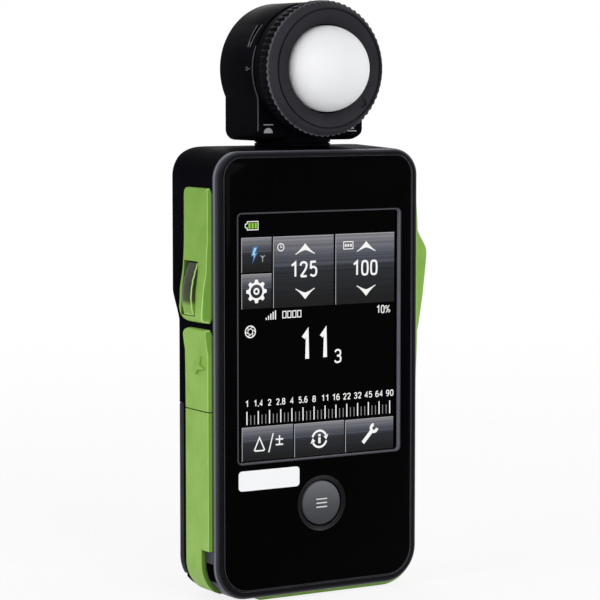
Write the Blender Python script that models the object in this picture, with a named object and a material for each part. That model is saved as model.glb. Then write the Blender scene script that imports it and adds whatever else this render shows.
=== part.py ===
"""A handheld exposure meter: a touch-screen body with a swivelling light-sensing head.

Sizes are in millimetres and become metres when a mesh is made. x runs to the right as the
screen is read, depth runs from the front rim to the back, and z runs up. The origin is where
the head's swivel axis meets the surface that the meter stands on.
"""

from math import acos, atan2, cos, degrees, hypot, pi, radians, sin, sqrt

import bmesh
import bpy
from mathutils import Matrix, Vector

MM = 0.001
GAP = 0.3

# Body
BODY_HALF = 27.8
BODY_LOW = 1.0
BODY_HIGH = 105.8
CORNER_LOW = 8.5
CORNER_HIGH = 6.6
SWIVEL_DEPTH = 12.6
WALL = 2.2
REAR_WALL = 2.0
REAR_EDGE = 2.5
CORNER_STEPS = 5
UPPER_DEPTH = 22.9
LOWER_DEPTH = 19.7
SLOPE_LOW = 65.6
SLOPE_HIGH = 72.4
SHELL_FRONT = 1.9

# Front frame and panel
RIM_WIDTH = 1.9
RIM_BACK = 1.6
PANEL_SIDE_GAP = 0.2
PANEL_FACE = 0.05
PANEL_BACK = 0.75
LEDGE_FACE = 1.0
LEDGE_BACK = 2.2
SKIRT_THICKNESS = 0.9
SKIRT_BACK = 4.6
WINDOW_HALF = BODY_HALF - WALL - 3.36
WINDOW_LOW = 33.12
WINDOW_HIGH = 91.04
WINDOW_CORNER = 0.8

# Display stack and boards
GLASS_MARGIN = 1.2
GLASS_THICKNESS = 0.7
LCD_THICKNESS = 1.6
HOLDER_WALL = 0.8
BOARD_HALF = BODY_HALF - WALL - 1.5
BOARD_LOW = 14.9
BOARD_HIGH = BODY_HIGH - WALL - 3.8
BOARD_FACE = 4.9
BOARD_THICKNESS = 1.0

# Head
HEAD_RADIUS = 15.5
HEAD_BORE = 13.7
HEAD_FRONT = 4.75
HEAD_BACK = 20.5
BLOCK_HALF = 14.2
BLOCK_LOW = BODY_HIGH + 1.75
COLLAR_FRONT = 2.4
COLLAR_RADIUS = 15.2
NECK_RADIUS = 8.9
NECK_SHAFT = 5.9
NECK_END = BODY_HIGH - WALL - 3.2
WIRE_BORE = 4.2
FLANGE_FRONT = 15.6
FLANGE_BACK = 17.0
FLANGE_BORE = 6.2

# Retracting ring, cam and lumisphere
RING_RADIUS = 15.6
RING_CLEARANCE = 2.9
HEAD_Z = BODY_HIGH + RING_RADIUS + RING_CLEARANCE
RING_FRONT = -4.4
RING_BACK = 1.5
RING_BORE = 10.3
RING_FACE_RADIUS = 13.55
RING_WEB_BACK = -1.4
FLUTES = 36
FLUTE_DEPTH = 0.4
FLUTE_STEPS = 3
DOME_RADIUS = 9.95
DOME_WALL = 1.0
DOME_BASE = -2.9
DOME_SKIRT = 1.4
TRAVEL = 7.0
RING_TURN = 90.0
PIN_RADIUS = 1.0
PIN_COUNT = 3
PIN_DEPTH = 1.8
SLEEVE_INNER = 11.9
SLEEVE_OUTER = 13.3
SLEEVE_BACK = 11.5
GUIDE_INNER = 10.5
GUIDE_OUTER = 11.6
INDEX_ANGLE = -41.0

# Side grips, measured along the body's outline
GRIP_FRONT = 1.9
GRIP_BACK = 14.3
GRIP_ROOT = 0.3
GRIP_POCKET = 0.6
GRIP_PROUD = 0.7
RIDGE = 1.7
RIGHT_PROUD = 1.1
RIGHT_SWELL = 0.4
RIGHT_RIDGE = 0.7
UPPER_GRIP_TOP = 96.8
UPPER_GRIP_END = 65.8
FLAP_TOP = 64.4
FLAP_END = 45.5
LOWER_GRIP_TOP = 45.2
BOTTOM_PAD_BACK = 15.2
BOTTOM_PAD_END = 15.9
LEFT_PAD_END = 23.3

# Buttons
PRESS = 0.7
PLATE_FLOOR = BODY_HALF - 1.3
MENU_Z = 22.16
MENU_RADIUS = 5.2
MENU_FACE = -0.9
MENU_DISH = 6.6
MENU_PRESS = 0.5
MEMORY_LOW = 67.6
MEMORY_HIGH = 79.7
MEMORY_FRONT = 7.1
MEMORY_BACK = 13.3
MEASURE_LOW = 60.6
MEASURE_HIGH = 86.0
MEASURE_FRONT = 3.2
MEASURE_BACK = 13.0
POWER_Z = 88.0
POWER_RADIUS = 3.4

# Battery bay, door and strap slot
CELL_RADIUS = 5.25
CELL_LENGTH = 44.5
CELL_X = 5.5
CELL_DEPTH = 12.35
BAY_HALF = 11.1
BAY_LOW = 3.9
BAY_HIGH = 52.5
BAY_FLOOR = 7.0
DOOR_LOW = 5.3
DOOR_HIGH = 45.8
DOOR_EDGE = 15.9
DOOR_THICKNESS = 1.5
DOOR_HALF = BODY_HALF - 1.5
STRAP_BACK = 5.2
STRAP_MOUTH_LOW = 5.7
STRAP_MOUTH_HIGH = 10.7
STRAP_INNER = 17.5
STRAP_EXIT = 22.5
STRAP_BLOCK_HALF = 15.2
STRAP_BLOCK_TOP = 13.4

# Fasteners, bush and sync terminal
SCREW_UPPER = (BODY_HALF - 7.3, BODY_HIGH - 8.1)
SCREW_LOWER = (BODY_HALF - 8.3, 17.5)
BUSH_Z = 58.3
BUSH_RADIUS = 4.6
BUSH_BORE = 2.75
SYNC_Z = 54.7
SYNC_DEPTH = 9.3
SYNC_RADIUS = 3.0
SYNC_PLUG = 3.1


def clear_scene():
    for obj in list(bpy.data.objects):
        bpy.data.objects.remove(obj)


def material(name, colour, roughness, metallic=0.0):
    made = bpy.data.materials.new(name)
    made.use_nodes = True
    shader = made.node_tree.nodes["Principled BSDF"]
    shader.inputs["Base Color"].default_value = (*colour, 1.0)
    shader.inputs["Roughness"].default_value = roughness
    shader.inputs["Metallic"].default_value = metallic
    return made


def make_materials():
    return {
        "shell": material("black_plastic", (0.012, 0.012, 0.014), 0.45),
        "gloss": material("gloss_black", (0.004, 0.004, 0.004), 0.08),
        "rim": material("slate_plastic", (0.045, 0.045, 0.06), 0.35),
        "green": material("green_rubber", (0.30, 0.50, 0.11), 0.6),
        "glass": material("touch_glass", (0.02, 0.02, 0.025), 0.05),
        "display": material("display_metal", (0.5, 0.5, 0.52), 0.4, 0.8),
        "button": material("button_grey", (0.05, 0.05, 0.055), 0.5),
        "board": material("board_green", (0.02, 0.12, 0.05), 0.5),
        "steel": material("steel", (0.6, 0.6, 0.6), 0.3, 1.0),
        "brass": material("brass", (0.7, 0.5, 0.2), 0.3, 1.0),
        "cell": material("cell_jacket", (0.1, 0.12, 0.2), 0.35),
        "dome": material("white_diffuser", (0.9, 0.9, 0.9), 0.6),
        "ivory": material("ivory_plastic", (0.7, 0.68, 0.6), 0.5),
        "filter": material("filter_glass", (0.1, 0.2, 0.3), 0.1),
    }


def place(x, depth, z):
    return Vector((x, depth - SWIVEL_DEPTH, z)) * MM


# Mesh builders


def solid(name, points, faces, look=None):
    """One closed mesh with its faces turned outwards. A solid with no look is a cutter."""
    mesh = bpy.data.meshes.new(name)
    mesh.from_pydata([place(*point) for point in points], [], faces)
    work = bmesh.new()
    work.from_mesh(mesh)
    bmesh.ops.remove_doubles(work, verts=work.verts, dist=1e-7)
    bmesh.ops.recalc_face_normals(work, faces=work.faces)
    work.to_mesh(mesh)
    work.free()
    mesh.shade_smooth()
    mesh.set_sharp_from_angle(angle=radians(32))
    obj = bpy.data.objects.new(name, mesh)
    bpy.context.scene.collection.objects.link(obj)
    if look:
        mesh.materials.append(look)
    else:
        obj.hide_render = True
        obj.display_type = "WIRE"
    return obj


def loft(name, rings, look=None):
    """A solid through rings of equal point counts, closed by a flat face at each end."""
    count = len(rings[0])
    points = [point for ring in rings for point in ring]
    faces = [tuple(range(count)), tuple(range(len(points) - count, len(points)))]
    for start in range(0, len(points) - count, count):
        for i in range(count):
            j = (i + 1) % count
            faces.append((start + i, start + j, start + count + j, start + count + i))
    return solid(name, points, faces, look)


def prism(name, outline, low, high, axis="z", look=None):
    """An outline pushed along an axis: (x, depth) along z, (x, z) along depth, (depth, z) along x."""
    order = {
        "z": lambda a, b, h: (a, b, h),
        "y": lambda a, b, h: (a, h, b),
        "x": lambda a, b, h: (h, a, b),
    }[axis]
    return loft(name, [[order(a, b, h) for a, b in outline] for h in (low, high)], look)


def box(name, x, depth, z, look=None):
    outline = [(x[0], depth[0]), (x[1], depth[0]), (x[1], depth[1]), (x[0], depth[1])]
    return prism(name, outline, z[0], z[1], "z", look)


def arc(centre, radius, start, end, steps):
    """Points on a circle from one angle to another, in degrees."""
    turns = [radians(start + (end - start) * i / steps) for i in range(steps + 1)]
    return [(centre[0] + radius * cos(t), centre[1] + radius * sin(t)) for t in turns]


def circle(centre, radius, steps=24):
    return arc(centre, radius, 0, 360 - 360 / steps, steps - 1)


def rounded(left, right, low, high, corner_low, corner_high, steps=6):
    return (
        arc((left + corner_low, low + corner_low), corner_low, 180, 270, steps)
        + arc((right - corner_low, low + corner_low), corner_low, 270, 360, steps)
        + arc((right - corner_high, high - corner_high), corner_high, 0, 90, steps)
        + arc((left + corner_high, high - corner_high), corner_high, 90, 180, steps)
    )


def rod(name, centre, radius, low, high, axis="y", look=None, steps=20):
    return prism(name, circle(centre, radius, steps), low, high, axis, look)


def turned(name, profile, look=None, axis="y", steps=48, centre=None, radius_at=None):
    """A closed (radius, height) profile turned about an axis.

    radius_at(index, angle) may change a profile point's radius round the turn.
    """
    if centre is None:
        centre = (0.0, HEAD_Z)
    points = []
    for step in range(steps):
        turn = 2 * pi * step / steps
        for index, (radius, height) in enumerate(profile):
            if radius_at:
                radius = radius_at(index, turn)
            a = centre[0] + radius * cos(turn)
            b = centre[1] + radius * sin(turn)
            points.append({"y": (a, height, b), "z": (a, b, height), "x": (height, a, b)}[axis])
    count = len(profile)
    faces = []
    for step in range(steps):
        here = step * count
        there = (step + 1) % steps * count
        for i in range(count):
            j = (i + 1) % count
            if profile[i][0] == 0 and profile[j][0] == 0:
                continue
            if profile[i][0] == 0:
                faces.append((here + i, here + j, there + j))
            elif profile[j][0] == 0:
                faces.append((here + i, here + j, there + i))
            else:
                faces.append((here + i, here + j, there + j, there + i))
    return solid(name, points, faces, look)


def combine(target, tool, operation):
    modifier = target.modifiers.new(tool.name, "BOOLEAN")
    modifier.operation = operation
    modifier.solver = "EXACT"
    modifier.object = tool
    tool.hide_render = True
    tool.display_type = "WIRE"


def cut(target, *tools):
    for tool in tools:
        combine(target, tool, "DIFFERENCE")


def join(target, *tools):
    for tool in tools:
        combine(target, tool, "UNION")


# The body's outline and the strips that follow it


def body_outline(inset, steps=CORNER_STEPS):
    return rounded(
        -BODY_HALF + inset,
        BODY_HALF - inset,
        BODY_LOW + inset,
        BODY_HIGH - inset,
        CORNER_LOW - inset,
        CORNER_HIGH - inset,
        steps,
    )


def half_width(z, inset=0.0):
    """Half the body's width at a height, which draws in at its rounded corners."""
    low = BODY_LOW + CORNER_LOW - z
    high = z - BODY_HIGH + CORNER_HIGH
    for reach, corner in ((low, CORNER_LOW - inset), (high, CORNER_HIGH - inset)):
        if reach > 0:
            return BODY_HALF - inset - corner + sqrt(max(corner**2 - reach**2, 0.0))
    return BODY_HALF - inset


def shell_depth(z):
    """How deep the body is at a height: thin below, thick above, with rounded ends."""
    share = min(max((z - SLOPE_LOW) / (SLOPE_HIGH - SLOPE_LOW), 0.0), 1.0)
    depth = LOWER_DEPTH + share * (UPPER_DEPTH - LOWER_DEPTH)
    for reach in (BODY_LOW + REAR_EDGE - z, z - BODY_HIGH + REAR_EDGE):
        if reach > 0:
            depth -= REAR_EDGE - sqrt(max(REAR_EDGE**2 - reach**2, 0.0))
    return depth


def shell_heights(low, high, inset=0.0):
    """Heights at which the shell's outline is taken: close together round each corner."""
    found = {low, high, SLOPE_LOW, SLOPE_HIGH}
    for i in range(CORNER_STEPS + 1):
        rise = 1 - cos(radians(90 * i / CORNER_STEPS))
        found.add(BODY_LOW + inset + (CORNER_LOW - inset) * rise)
        found.add(BODY_HIGH - inset - (CORNER_HIGH - inset) * rise)
    for turn in (0.0, pi / 4, pi / 2):
        found.add(BODY_LOW + REAR_EDGE * (1 - cos(turn)))
        found.add(BODY_HIGH - REAR_EDGE * (1 - cos(turn)))
    inside = sorted(z for z in found if low <= z <= high)
    kept = inside[:1]
    for z in inside[1:]:
        if z - kept[-1] > 0.2:
            kept.append(z)
    kept[-1] = high
    return kept


def shell_ring(z, half, front, back, corner):
    rear_right = arc((half - corner, back - corner), corner, 0, 90, 3)
    rear_left = arc((-half + corner, back - corner), corner, 90, 180, 3)
    outline = [(-half, front), (half, front)] + rear_right + rear_left
    return [(x, depth, z) for x, depth in outline]


def edge_station(side, travel):
    """A point on the body's side and bottom outline with its outward normal.

    travel is the height while it is above the corner, and below that it goes on round the
    corner and along the bottom, so it may be negative. side is 1 on the right, -1 on the left.
    """
    start = BODY_LOW + CORNER_LOW
    if travel >= start:
        return side * BODY_HALF, travel, side, 0.0
    past = start - travel
    quarter = CORNER_LOW * pi / 2
    centre = (BODY_HALF - CORNER_LOW, BODY_LOW + CORNER_LOW)
    if past <= quarter:
        turn = past / CORNER_LOW
        x = centre[0] + CORNER_LOW * cos(turn)
        return side * x, centre[1] - CORNER_LOW * sin(turn), side * cos(turn), -sin(turn)
    return side * (centre[0] - past + quarter), BODY_LOW, 0.0, -1.0


def travel_to(x):
    """The travel of a point on the corner or bottom, x from the middle towards the strip's side."""
    past_centre = x - BODY_HALF + CORNER_LOW
    start = BODY_LOW + CORNER_LOW
    if past_centre > 0:
        return start - CORNER_LOW * acos(past_centre / CORNER_LOW)
    return start - CORNER_LOW * pi / 2 + past_centre


def strip(name, side, stations, look=None, root=GRIP_ROOT, ridge=RIDGE):
    """A pad along the outline. Each station is (travel, proud, front, back)."""
    rings = []
    for travel, proud, front, back in stations:
        x, z, normal_x, normal_z = edge_station(side, travel)
        lip = min(ridge, (back - front) / 3)
        edge = 0.35 * lip
        section = [
            (-root, front),
            (0.3 * proud, front),
            (0.75 * proud, front + 0.45 * lip),
            (proud, front + lip),
            (proud, back - edge),
            (0.3 * proud, back),
            (-root, back),
        ]
        rings.append([(x + o * normal_x, d, z + o * normal_z) for o, d in section])
    return loft(name, rings, look)


def pocket(name, side, stations):
    """The recess in the shell for a strip, a gap wider all round."""
    grown = []
    for index, (travel, _, front, back) in enumerate(stations):
        if index == 0:
            travel += GAP
        if index == len(stations) - 1:
            travel -= GAP
        grown.append((travel, front - GAP, back + GAP))
    rings = []
    for travel, front, back in grown:
        x, z, normal_x, normal_z = edge_station(side, travel)
        section = [(-GRIP_POCKET, front), (4.0, front), (4.0, back), (-GRIP_POCKET, back)]
        rings.append([(x + o * normal_x, d, z + o * normal_z) for o, d in section])
    return loft(name, rings)


def corner_travels(side_end):
    """Stations round the bottom corner and along the bottom to an x."""
    start = BODY_LOW + CORNER_LOW
    found = [start - CORNER_LOW * pi / 2 * i / CORNER_STEPS for i in range(CORNER_STEPS + 1)]
    end = travel_to(side_end)
    return [travel for travel in found if travel > end + 0.3] + [end]


def upper_grip_stations():
    low = UPPER_GRIP_END
    high = UPPER_GRIP_TOP
    bulge = 1.7
    back = GRIP_BACK + 0.7
    return [
        (high, 0.05, GRIP_FRONT + 1.3, GRIP_BACK - 1.3),
        (high - 0.6, 0.5 * GRIP_PROUD, GRIP_FRONT + 0.6, GRIP_BACK - 0.6),
        (high - 1.8, GRIP_PROUD, GRIP_FRONT, GRIP_BACK),
        (high - 14.5, GRIP_PROUD + 0.1, GRIP_FRONT, GRIP_BACK),
        (high - 20.0, GRIP_PROUD + 0.45, GRIP_FRONT, GRIP_BACK + 0.35),
        (low + 5.5, bulge - 0.15, GRIP_FRONT, back),
        (low + 2.6, bulge, GRIP_FRONT, back),
        (low + 1.2, bulge - 0.4, GRIP_FRONT + 0.3, back - 0.7),
        (low + 0.4, bulge - 1.0, GRIP_FRONT + 0.9, back - 2.2),
        (low, 0.2, GRIP_FRONT + 1.6, back - 4.0),
    ]


def flap_stations():
    return [
        (FLAP_TOP, 0.2, GRIP_FRONT + 1.2, GRIP_BACK - 1.0),
        (FLAP_TOP - 0.5, 0.9, GRIP_FRONT + 0.5, GRIP_BACK - 0.1),
        (FLAP_TOP - 1.4, 1.25, GRIP_FRONT, GRIP_BACK + 0.2),
        (FLAP_TOP - 3.0, 1.1, GRIP_FRONT, GRIP_BACK),
        (FLAP_TOP - 5.5, GRIP_PROUD, GRIP_FRONT, GRIP_BACK - 0.5),
        (FLAP_END, GRIP_PROUD, GRIP_FRONT, GRIP_BACK - 0.5),
    ]


def lower_grip_stations():
    back = GRIP_BACK - 0.5
    stations = [(LOWER_GRIP_TOP, GRIP_PROUD, GRIP_FRONT, back)]
    for travel in corner_travels(LEFT_PAD_END):
        stations.append((travel, GRIP_PROUD, GRIP_FRONT, back))
    return stations


def right_grip_stations():
    """Thin at its upper end, thicker beside the measuring button, thin again towards the foot."""
    high = 95.3
    thick = RIGHT_PROUD + RIGHT_SWELL
    stations = [
        (high, 0.05, GRIP_FRONT + 1.3, GRIP_BACK - 1.3),
        (high - 0.6, 0.5 * RIGHT_PROUD, GRIP_FRONT + 0.6, GRIP_BACK - 0.6),
        (high - 1.8, RIGHT_PROUD, GRIP_FRONT, GRIP_BACK),
        (MEASURE_HIGH, thick, GRIP_FRONT, GRIP_BACK),
        (MEASURE_LOW, thick, GRIP_FRONT, GRIP_BACK),
        (MEASURE_LOW - 12.0, RIGHT_PROUD, GRIP_FRONT, GRIP_BACK),
    ]
    flat_edge = 1.2
    for travel in corner_travels(-BOTTOM_PAD_END):
        past = BODY_LOW + CORNER_LOW - travel
        turned_share = min(max(past / (CORNER_LOW * pi / 2), 0.0), 1.0)
        proud = RIGHT_PROUD + turned_share * (BODY_LOW - RIGHT_PROUD)
        back = GRIP_BACK + turned_share * (BOTTOM_PAD_BACK - GRIP_BACK)
        stations.append((travel, proud, GRIP_FRONT, back))
    end = travel_to(-BOTTOM_PAD_END)
    stations[-1] = (end + flat_edge, BODY_LOW, GRIP_FRONT, BOTTOM_PAD_BACK)
    stations.append((end, 0.5, GRIP_FRONT + 0.8, BOTTOM_PAD_BACK - 0.8))
    return stations


# Front of the body


def window_outline(margin, corner=WINDOW_CORNER):
    return rounded(
        -WINDOW_HALF - margin,
        WINDOW_HALF + margin,
        WINDOW_LOW - margin,
        WINDOW_HIGH + margin,
        corner,
        corner,
        3,
    )


def make_front_frame(looks):
    """The rim with its rounded edge, the ledge behind the panel, the skirt and the bosses."""
    skirt_outer = WALL + GAP
    profile = [
        (0.0, RIM_BACK),
        (0.0, 0.8),
        (0.2, 0.4),
        (0.6, 0.12),
        (1.2, 0.0),
        (RIM_WIDTH - 0.12, 0.0),
        (RIM_WIDTH, 0.12),
        (RIM_WIDTH, LEDGE_FACE),
        (skirt_outer + SKIRT_THICKNESS, LEDGE_FACE),
        (skirt_outer + SKIRT_THICKNESS, SKIRT_BACK),
        (skirt_outer, SKIRT_BACK),
        (skirt_outer, RIM_BACK),
    ]
    rings = [[(x, depth, z) for x, z in body_outline(inset)] for inset, depth in profile]
    count = len(rings[0])
    points = [point for ring in rings for point in ring]
    faces = []
    for row in range(len(rings)):
        start = row * count
        after = (row + 1) % len(rings) * count
        for i in range(count):
            j = (i + 1) % count
            faces.append((start + i, start + j, after + j, after + i))
    frame = solid("front_frame", points, faces, looks["rim"])
    plate_outline = body_outline(skirt_outer + SKIRT_THICKNESS / 2)
    plate = prism("frame_plate", plate_outline, LEDGE_FACE + 0.02, LEDGE_BACK, "y")
    cut(plate, prism("frame_window", window_outline(0.05), 0.0, 5.0, "y"))
    rebate = prism("frame_rebate", window_outline(GLASS_MARGIN + GAP), 1.5, 5.0, "y")
    cut(plate, rebate)
    join(frame, plate)
    for x, z in boss_places():
        shown = f"frame_boss_{x:.0f}_{z:.0f}"
        back = 9.7 if z > BUSH_Z else 5.9
        join(frame, rod(shown, (x, z), 2.4, LEDGE_FACE + 0.3, back, "y", None, 16))
    for x, z in boss_places():
        shown = f"frame_boss_bore_{x:.0f}_{z:.0f}"
        cut(frame, rod(shown, (x, z), 1.3, 3.4, 12.0, "y", None, 12))
    cut(frame, rod("frame_menu_hole", (0, MENU_Z), MENU_RADIUS + GAP, -2.0, 6.0))
    notch = box(
        "frame_strap_notch",
        (-BODY_HALF - 2, -STRAP_BLOCK_HALF + GAP),
        (RIM_BACK, 8.0),
        (BODY_LOW - 3, STRAP_BLOCK_TOP + GAP),
    )
    cut(frame, notch)
    return frame


def boss_places():
    return [
        (side * x, z) for x, z in (SCREW_UPPER, SCREW_LOWER) for side in (-1, 1)
    ]


def make_front_panel(looks):
    outline = body_outline(RIM_WIDTH + PANEL_SIDE_GAP)
    panel = prism("front_panel", outline, PANEL_FACE, PANEL_BACK, "y", looks["gloss"])
    cut(panel, prism("panel_window", window_outline(0.0), -1.0, 3.0, "y"))
    dish_profile = [
        (0.0, PANEL_FACE - 0.5),
        (MENU_DISH + 0.9, PANEL_FACE - 0.5),
        (MENU_RADIUS + GAP, PANEL_FACE + 0.55),
        (MENU_RADIUS + GAP, PANEL_BACK + 1.0),
        (0.0, PANEL_BACK + 1.0),
    ]
    cut(panel, turned("panel_dish", dish_profile, None, "y", 28, (0.0, MENU_Z)))
    return panel


def make_display(looks):
    """Touch glass, display module, holder and the two boards."""
    glass_face = 1.5 + GAP
    glass_back = glass_face + GLASS_THICKNESS
    glass_outline = window_outline(GLASS_MARGIN)
    prism("touch_glass", glass_outline, glass_face, glass_back, "y", looks["glass"])
    lcd_face = glass_back + GAP
    lcd_back = lcd_face + LCD_THICKNESS
    lcd_outline = window_outline(GLASS_MARGIN - 0.1)
    prism("display_module", lcd_outline, lcd_face, lcd_back, "y", looks["display"])
    holder_outline = window_outline(GLASS_MARGIN + HOLDER_WALL, WINDOW_CORNER + 0.4)
    holder = prism("display_holder", holder_outline, LEDGE_BACK + GAP, 4.6, "y", looks["shell"])
    cut(holder, prism("holder_window", window_outline(GLASS_MARGIN + 0.2), 1.0, 7.0, "y"))


def board_notch(x, z):
    """Clearance in the main board for a screw boss, open to the board's nearest corner."""
    room = 2.4 + 2 * GAP
    outside = sorted((x - room * x / abs(x), x + 9 * x / abs(x)))
    above = (z - room, z + 9) if z > BUSH_Z else (z - 9, z + room)
    return box(f"board_notch_{x:.0f}_{z:.0f}", outside, (2.0, 9.0), above)


def make_boards(looks):
    board_back = BOARD_FACE + BOARD_THICKNESS
    outline = rounded(-BOARD_HALF, BOARD_HALF, BOARD_LOW, BOARD_HIGH, 1.0, 5.0, 3)
    board = prism("main_board", outline, BOARD_FACE, board_back, "y", looks["board"])
    for x, z in boss_places():
        cut(board, board_notch(x, z))
    radio = box(
        "radio_module",
        (-16.0, 6.0),
        (board_back + GAP, board_back + 2.4),
        (82.0, 96.0),
        looks["steel"],
    )
    cut(radio, box("radio_step", (2.0, 9.0), (board_back + 1.2, 12.0), (80.0, 99.0)))
    rear_face = 16.6
    rear = box("rear_board", (-12.0, 12.0), (rear_face, rear_face + 0.8), (78.0, 98.0), looks["board"])
    cut(rear, box("rear_board_notch", (-4.0, 4.0), (15.0, 19.0), (96.0, 99.0)))


# Rear shell


def make_rear_shell(looks):
    rings = [
        shell_ring(z, half_width(z), SHELL_FRONT, shell_depth(z), REAR_EDGE)
        for z in shell_heights(BODY_LOW, BODY_HIGH)
    ]
    shell = loft("rear_shell", rings, looks["shell"])
    cut(shell, upper_cavity(), lower_cavity())
    cut(shell, *battery_cutters())
    cut(shell, *strap_cutters())
    for name, side, stations in (
        ("upper_grip_pocket", -1, upper_grip_stations()),
        ("flap_pocket", -1, flap_stations()),
        ("lower_grip_pocket", -1, lower_grip_stations()),
        ("right_grip_pocket", 1, right_grip_stations()),
    ):
        cut(shell, pocket(name, side, stations))
    add_shell_bosses(shell)
    cut(shell, *button_cutters())
    cut(shell, rod("neck_hole", (0.0, SWIVEL_DEPTH), NECK_SHAFT + GAP, NECK_END, BODY_HIGH + 4, "z", None, 40))
    cut(shell, rod("bush_hole", (0.0, BUSH_Z), BUSH_RADIUS + GAP, 11.3, 24.0, "y", None, 32))
    sync = (SYNC_DEPTH, SYNC_Z)
    side = -BODY_HALF
    cut(shell, rod("sync_mouth", sync, SYNC_PLUG + 0.8, side - 3, side + 2.8, "x"))
    cut(shell, rod("sync_bore", sync, SYNC_RADIUS + GAP, side - 3, side + 10.3, "x"))
    return shell


def upper_cavity():
    low = SLOPE_LOW - 1.6
    high = BODY_HIGH - WALL
    rings = []
    for z in shell_heights(low, high, WALL):
        back = min(shell_depth(z), shell_depth(high - REAR_EDGE)) - REAR_WALL
        rings.append(shell_ring(z, half_width(z, WALL), SHELL_FRONT - 2, back, 1.0))
    return loft("upper_cavity", rings)


def lower_cavity():
    """The shallow space behind the display, kept off the strap corner."""
    low = BODY_LOW + WALL
    high = SLOPE_LOW
    back = BAY_FLOOR - 0.8
    rings = [
        shell_ring(z, half_width(z, WALL), SHELL_FRONT - 2, back, 0.6)
        for z in shell_heights(low, high, WALL)
    ]
    cavity = loft("lower_cavity", rings)
    block = box(
        "strap_block",
        (-BODY_HALF - 5, -STRAP_BLOCK_HALF),
        (SHELL_FRONT - 4, BAY_FLOOR + 4),
        (BODY_LOW - 5, STRAP_BLOCK_TOP),
    )
    cut(cavity, block)
    return cavity


def battery_cutters():
    far = 30.0
    core = DOOR_HALF - 0.4
    rim = DOOR_EDGE - GAP
    floor = LOWER_DEPTH - DOOR_THICKNESS - GAP
    outline = [
        (-40.0, rim),
        (-core, rim),
        (-core, floor),
        (core, floor),
        (core, rim),
        (40.0, rim),
        (40.0, far),
        (-40.0, far),
    ]
    space = prism("door_space", outline, BODY_LOW - 3, DOOR_HIGH + GAP)
    bay = box("bay", (-BAY_HALF, BAY_HALF), (BAY_FLOOR, far), (BAY_LOW, DOOR_HIGH - 0.4))
    top = box("bay_top", (-BAY_HALF, BAY_HALF), (BAY_FLOOR, floor), (DOOR_HIGH - 4, BAY_HIGH))
    return space, bay, top


def strap_cutters():
    side = box(
        "strap_side_mouth",
        (-BODY_HALF - 3, -STRAP_INNER),
        (SHELL_FRONT - 2, STRAP_BACK),
        (STRAP_MOUTH_LOW, STRAP_MOUTH_HIGH),
    )
    bottom = box(
        "strap_bottom_mouth",
        (-STRAP_EXIT, -STRAP_INNER),
        (SHELL_FRONT - 2, STRAP_BACK),
        (BODY_LOW - 3, STRAP_MOUTH_HIGH),
    )
    return side, bottom


def add_shell_bosses(shell):
    """Screw bosses, their bores and counterbores, and the rear board's posts."""
    upper_inner = UPPER_DEPTH - REAR_WALL
    for x, z in boss_places():
        tag = f"{x:.0f}_{z:.0f}"
        upper = z > BUSH_Z
        seat = 19.0 if upper else 15.6
        if upper:
            join(shell, rod(f"shell_boss_{tag}", (x, z), 3.2, 10.0, upper_inner + 1, "y", None, 20))
        cut(shell, rod(f"shell_bore_{tag}", (x, z), 1.3, 5.0, 25.0, "y", None, 12))
        cut(shell, rod(f"shell_counterbore_{tag}", (x, z), 2.3, seat, 30.0, "y", None, 20))
    for x in (-9.5, 9.5):
        for z in (80.5, 94.0):
            post = rod(f"board_post_{x:.0f}_{z:.0f}", (x, z), 1.7, 17.7, upper_inner + 0.8, "y", None, 12)
            join(shell, post)


def plate_pocket(name, side, depth, z):
    xs = sorted((side * PLATE_FLOOR, side * (BODY_HALF + 6)))
    grown_depth = (depth[0] - GAP, depth[1] + GAP)
    return box(name, xs, grown_depth, (z[0] - GAP, z[1] + GAP))


def stem_hole(name, side, depth, z):
    xs = sorted((side * (BODY_HALF - WALL - 3), side * (BODY_HALF + 6)))
    return box(name, xs, (depth[0] - GAP, depth[1] + GAP), (z[0] - GAP, z[1] + GAP))


def memory_stem():
    return (MEMORY_FRONT + 1.4, MEMORY_BACK - 1.4), (MEMORY_LOW + 2.6, MEMORY_HIGH - 2.6)


def measure_stem():
    middle = 75.0
    return (MEASURE_FRONT + 4.1, MEASURE_BACK - 2.4), (middle - 3.5, middle + 3.5)


def button_cutters():
    memory = (MEMORY_FRONT, MEMORY_BACK), (MEMORY_LOW, MEMORY_HIGH)
    measure = (MEASURE_FRONT, MEASURE_BACK), (MEASURE_LOW, MEASURE_HIGH)
    return (
        plate_pocket("memory_plate_pocket", -1, *memory),
        stem_hole("memory_stem_hole", -1, *memory_stem()),
        plate_pocket("measure_plate_pocket", 1, *measure),
        stem_hole("measure_stem_hole", 1, *measure_stem()),
        rod("power_hole", (0.0, POWER_Z), POWER_RADIUS + GAP, 19.0, 26.0, "y", None, 32),
    )


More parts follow.
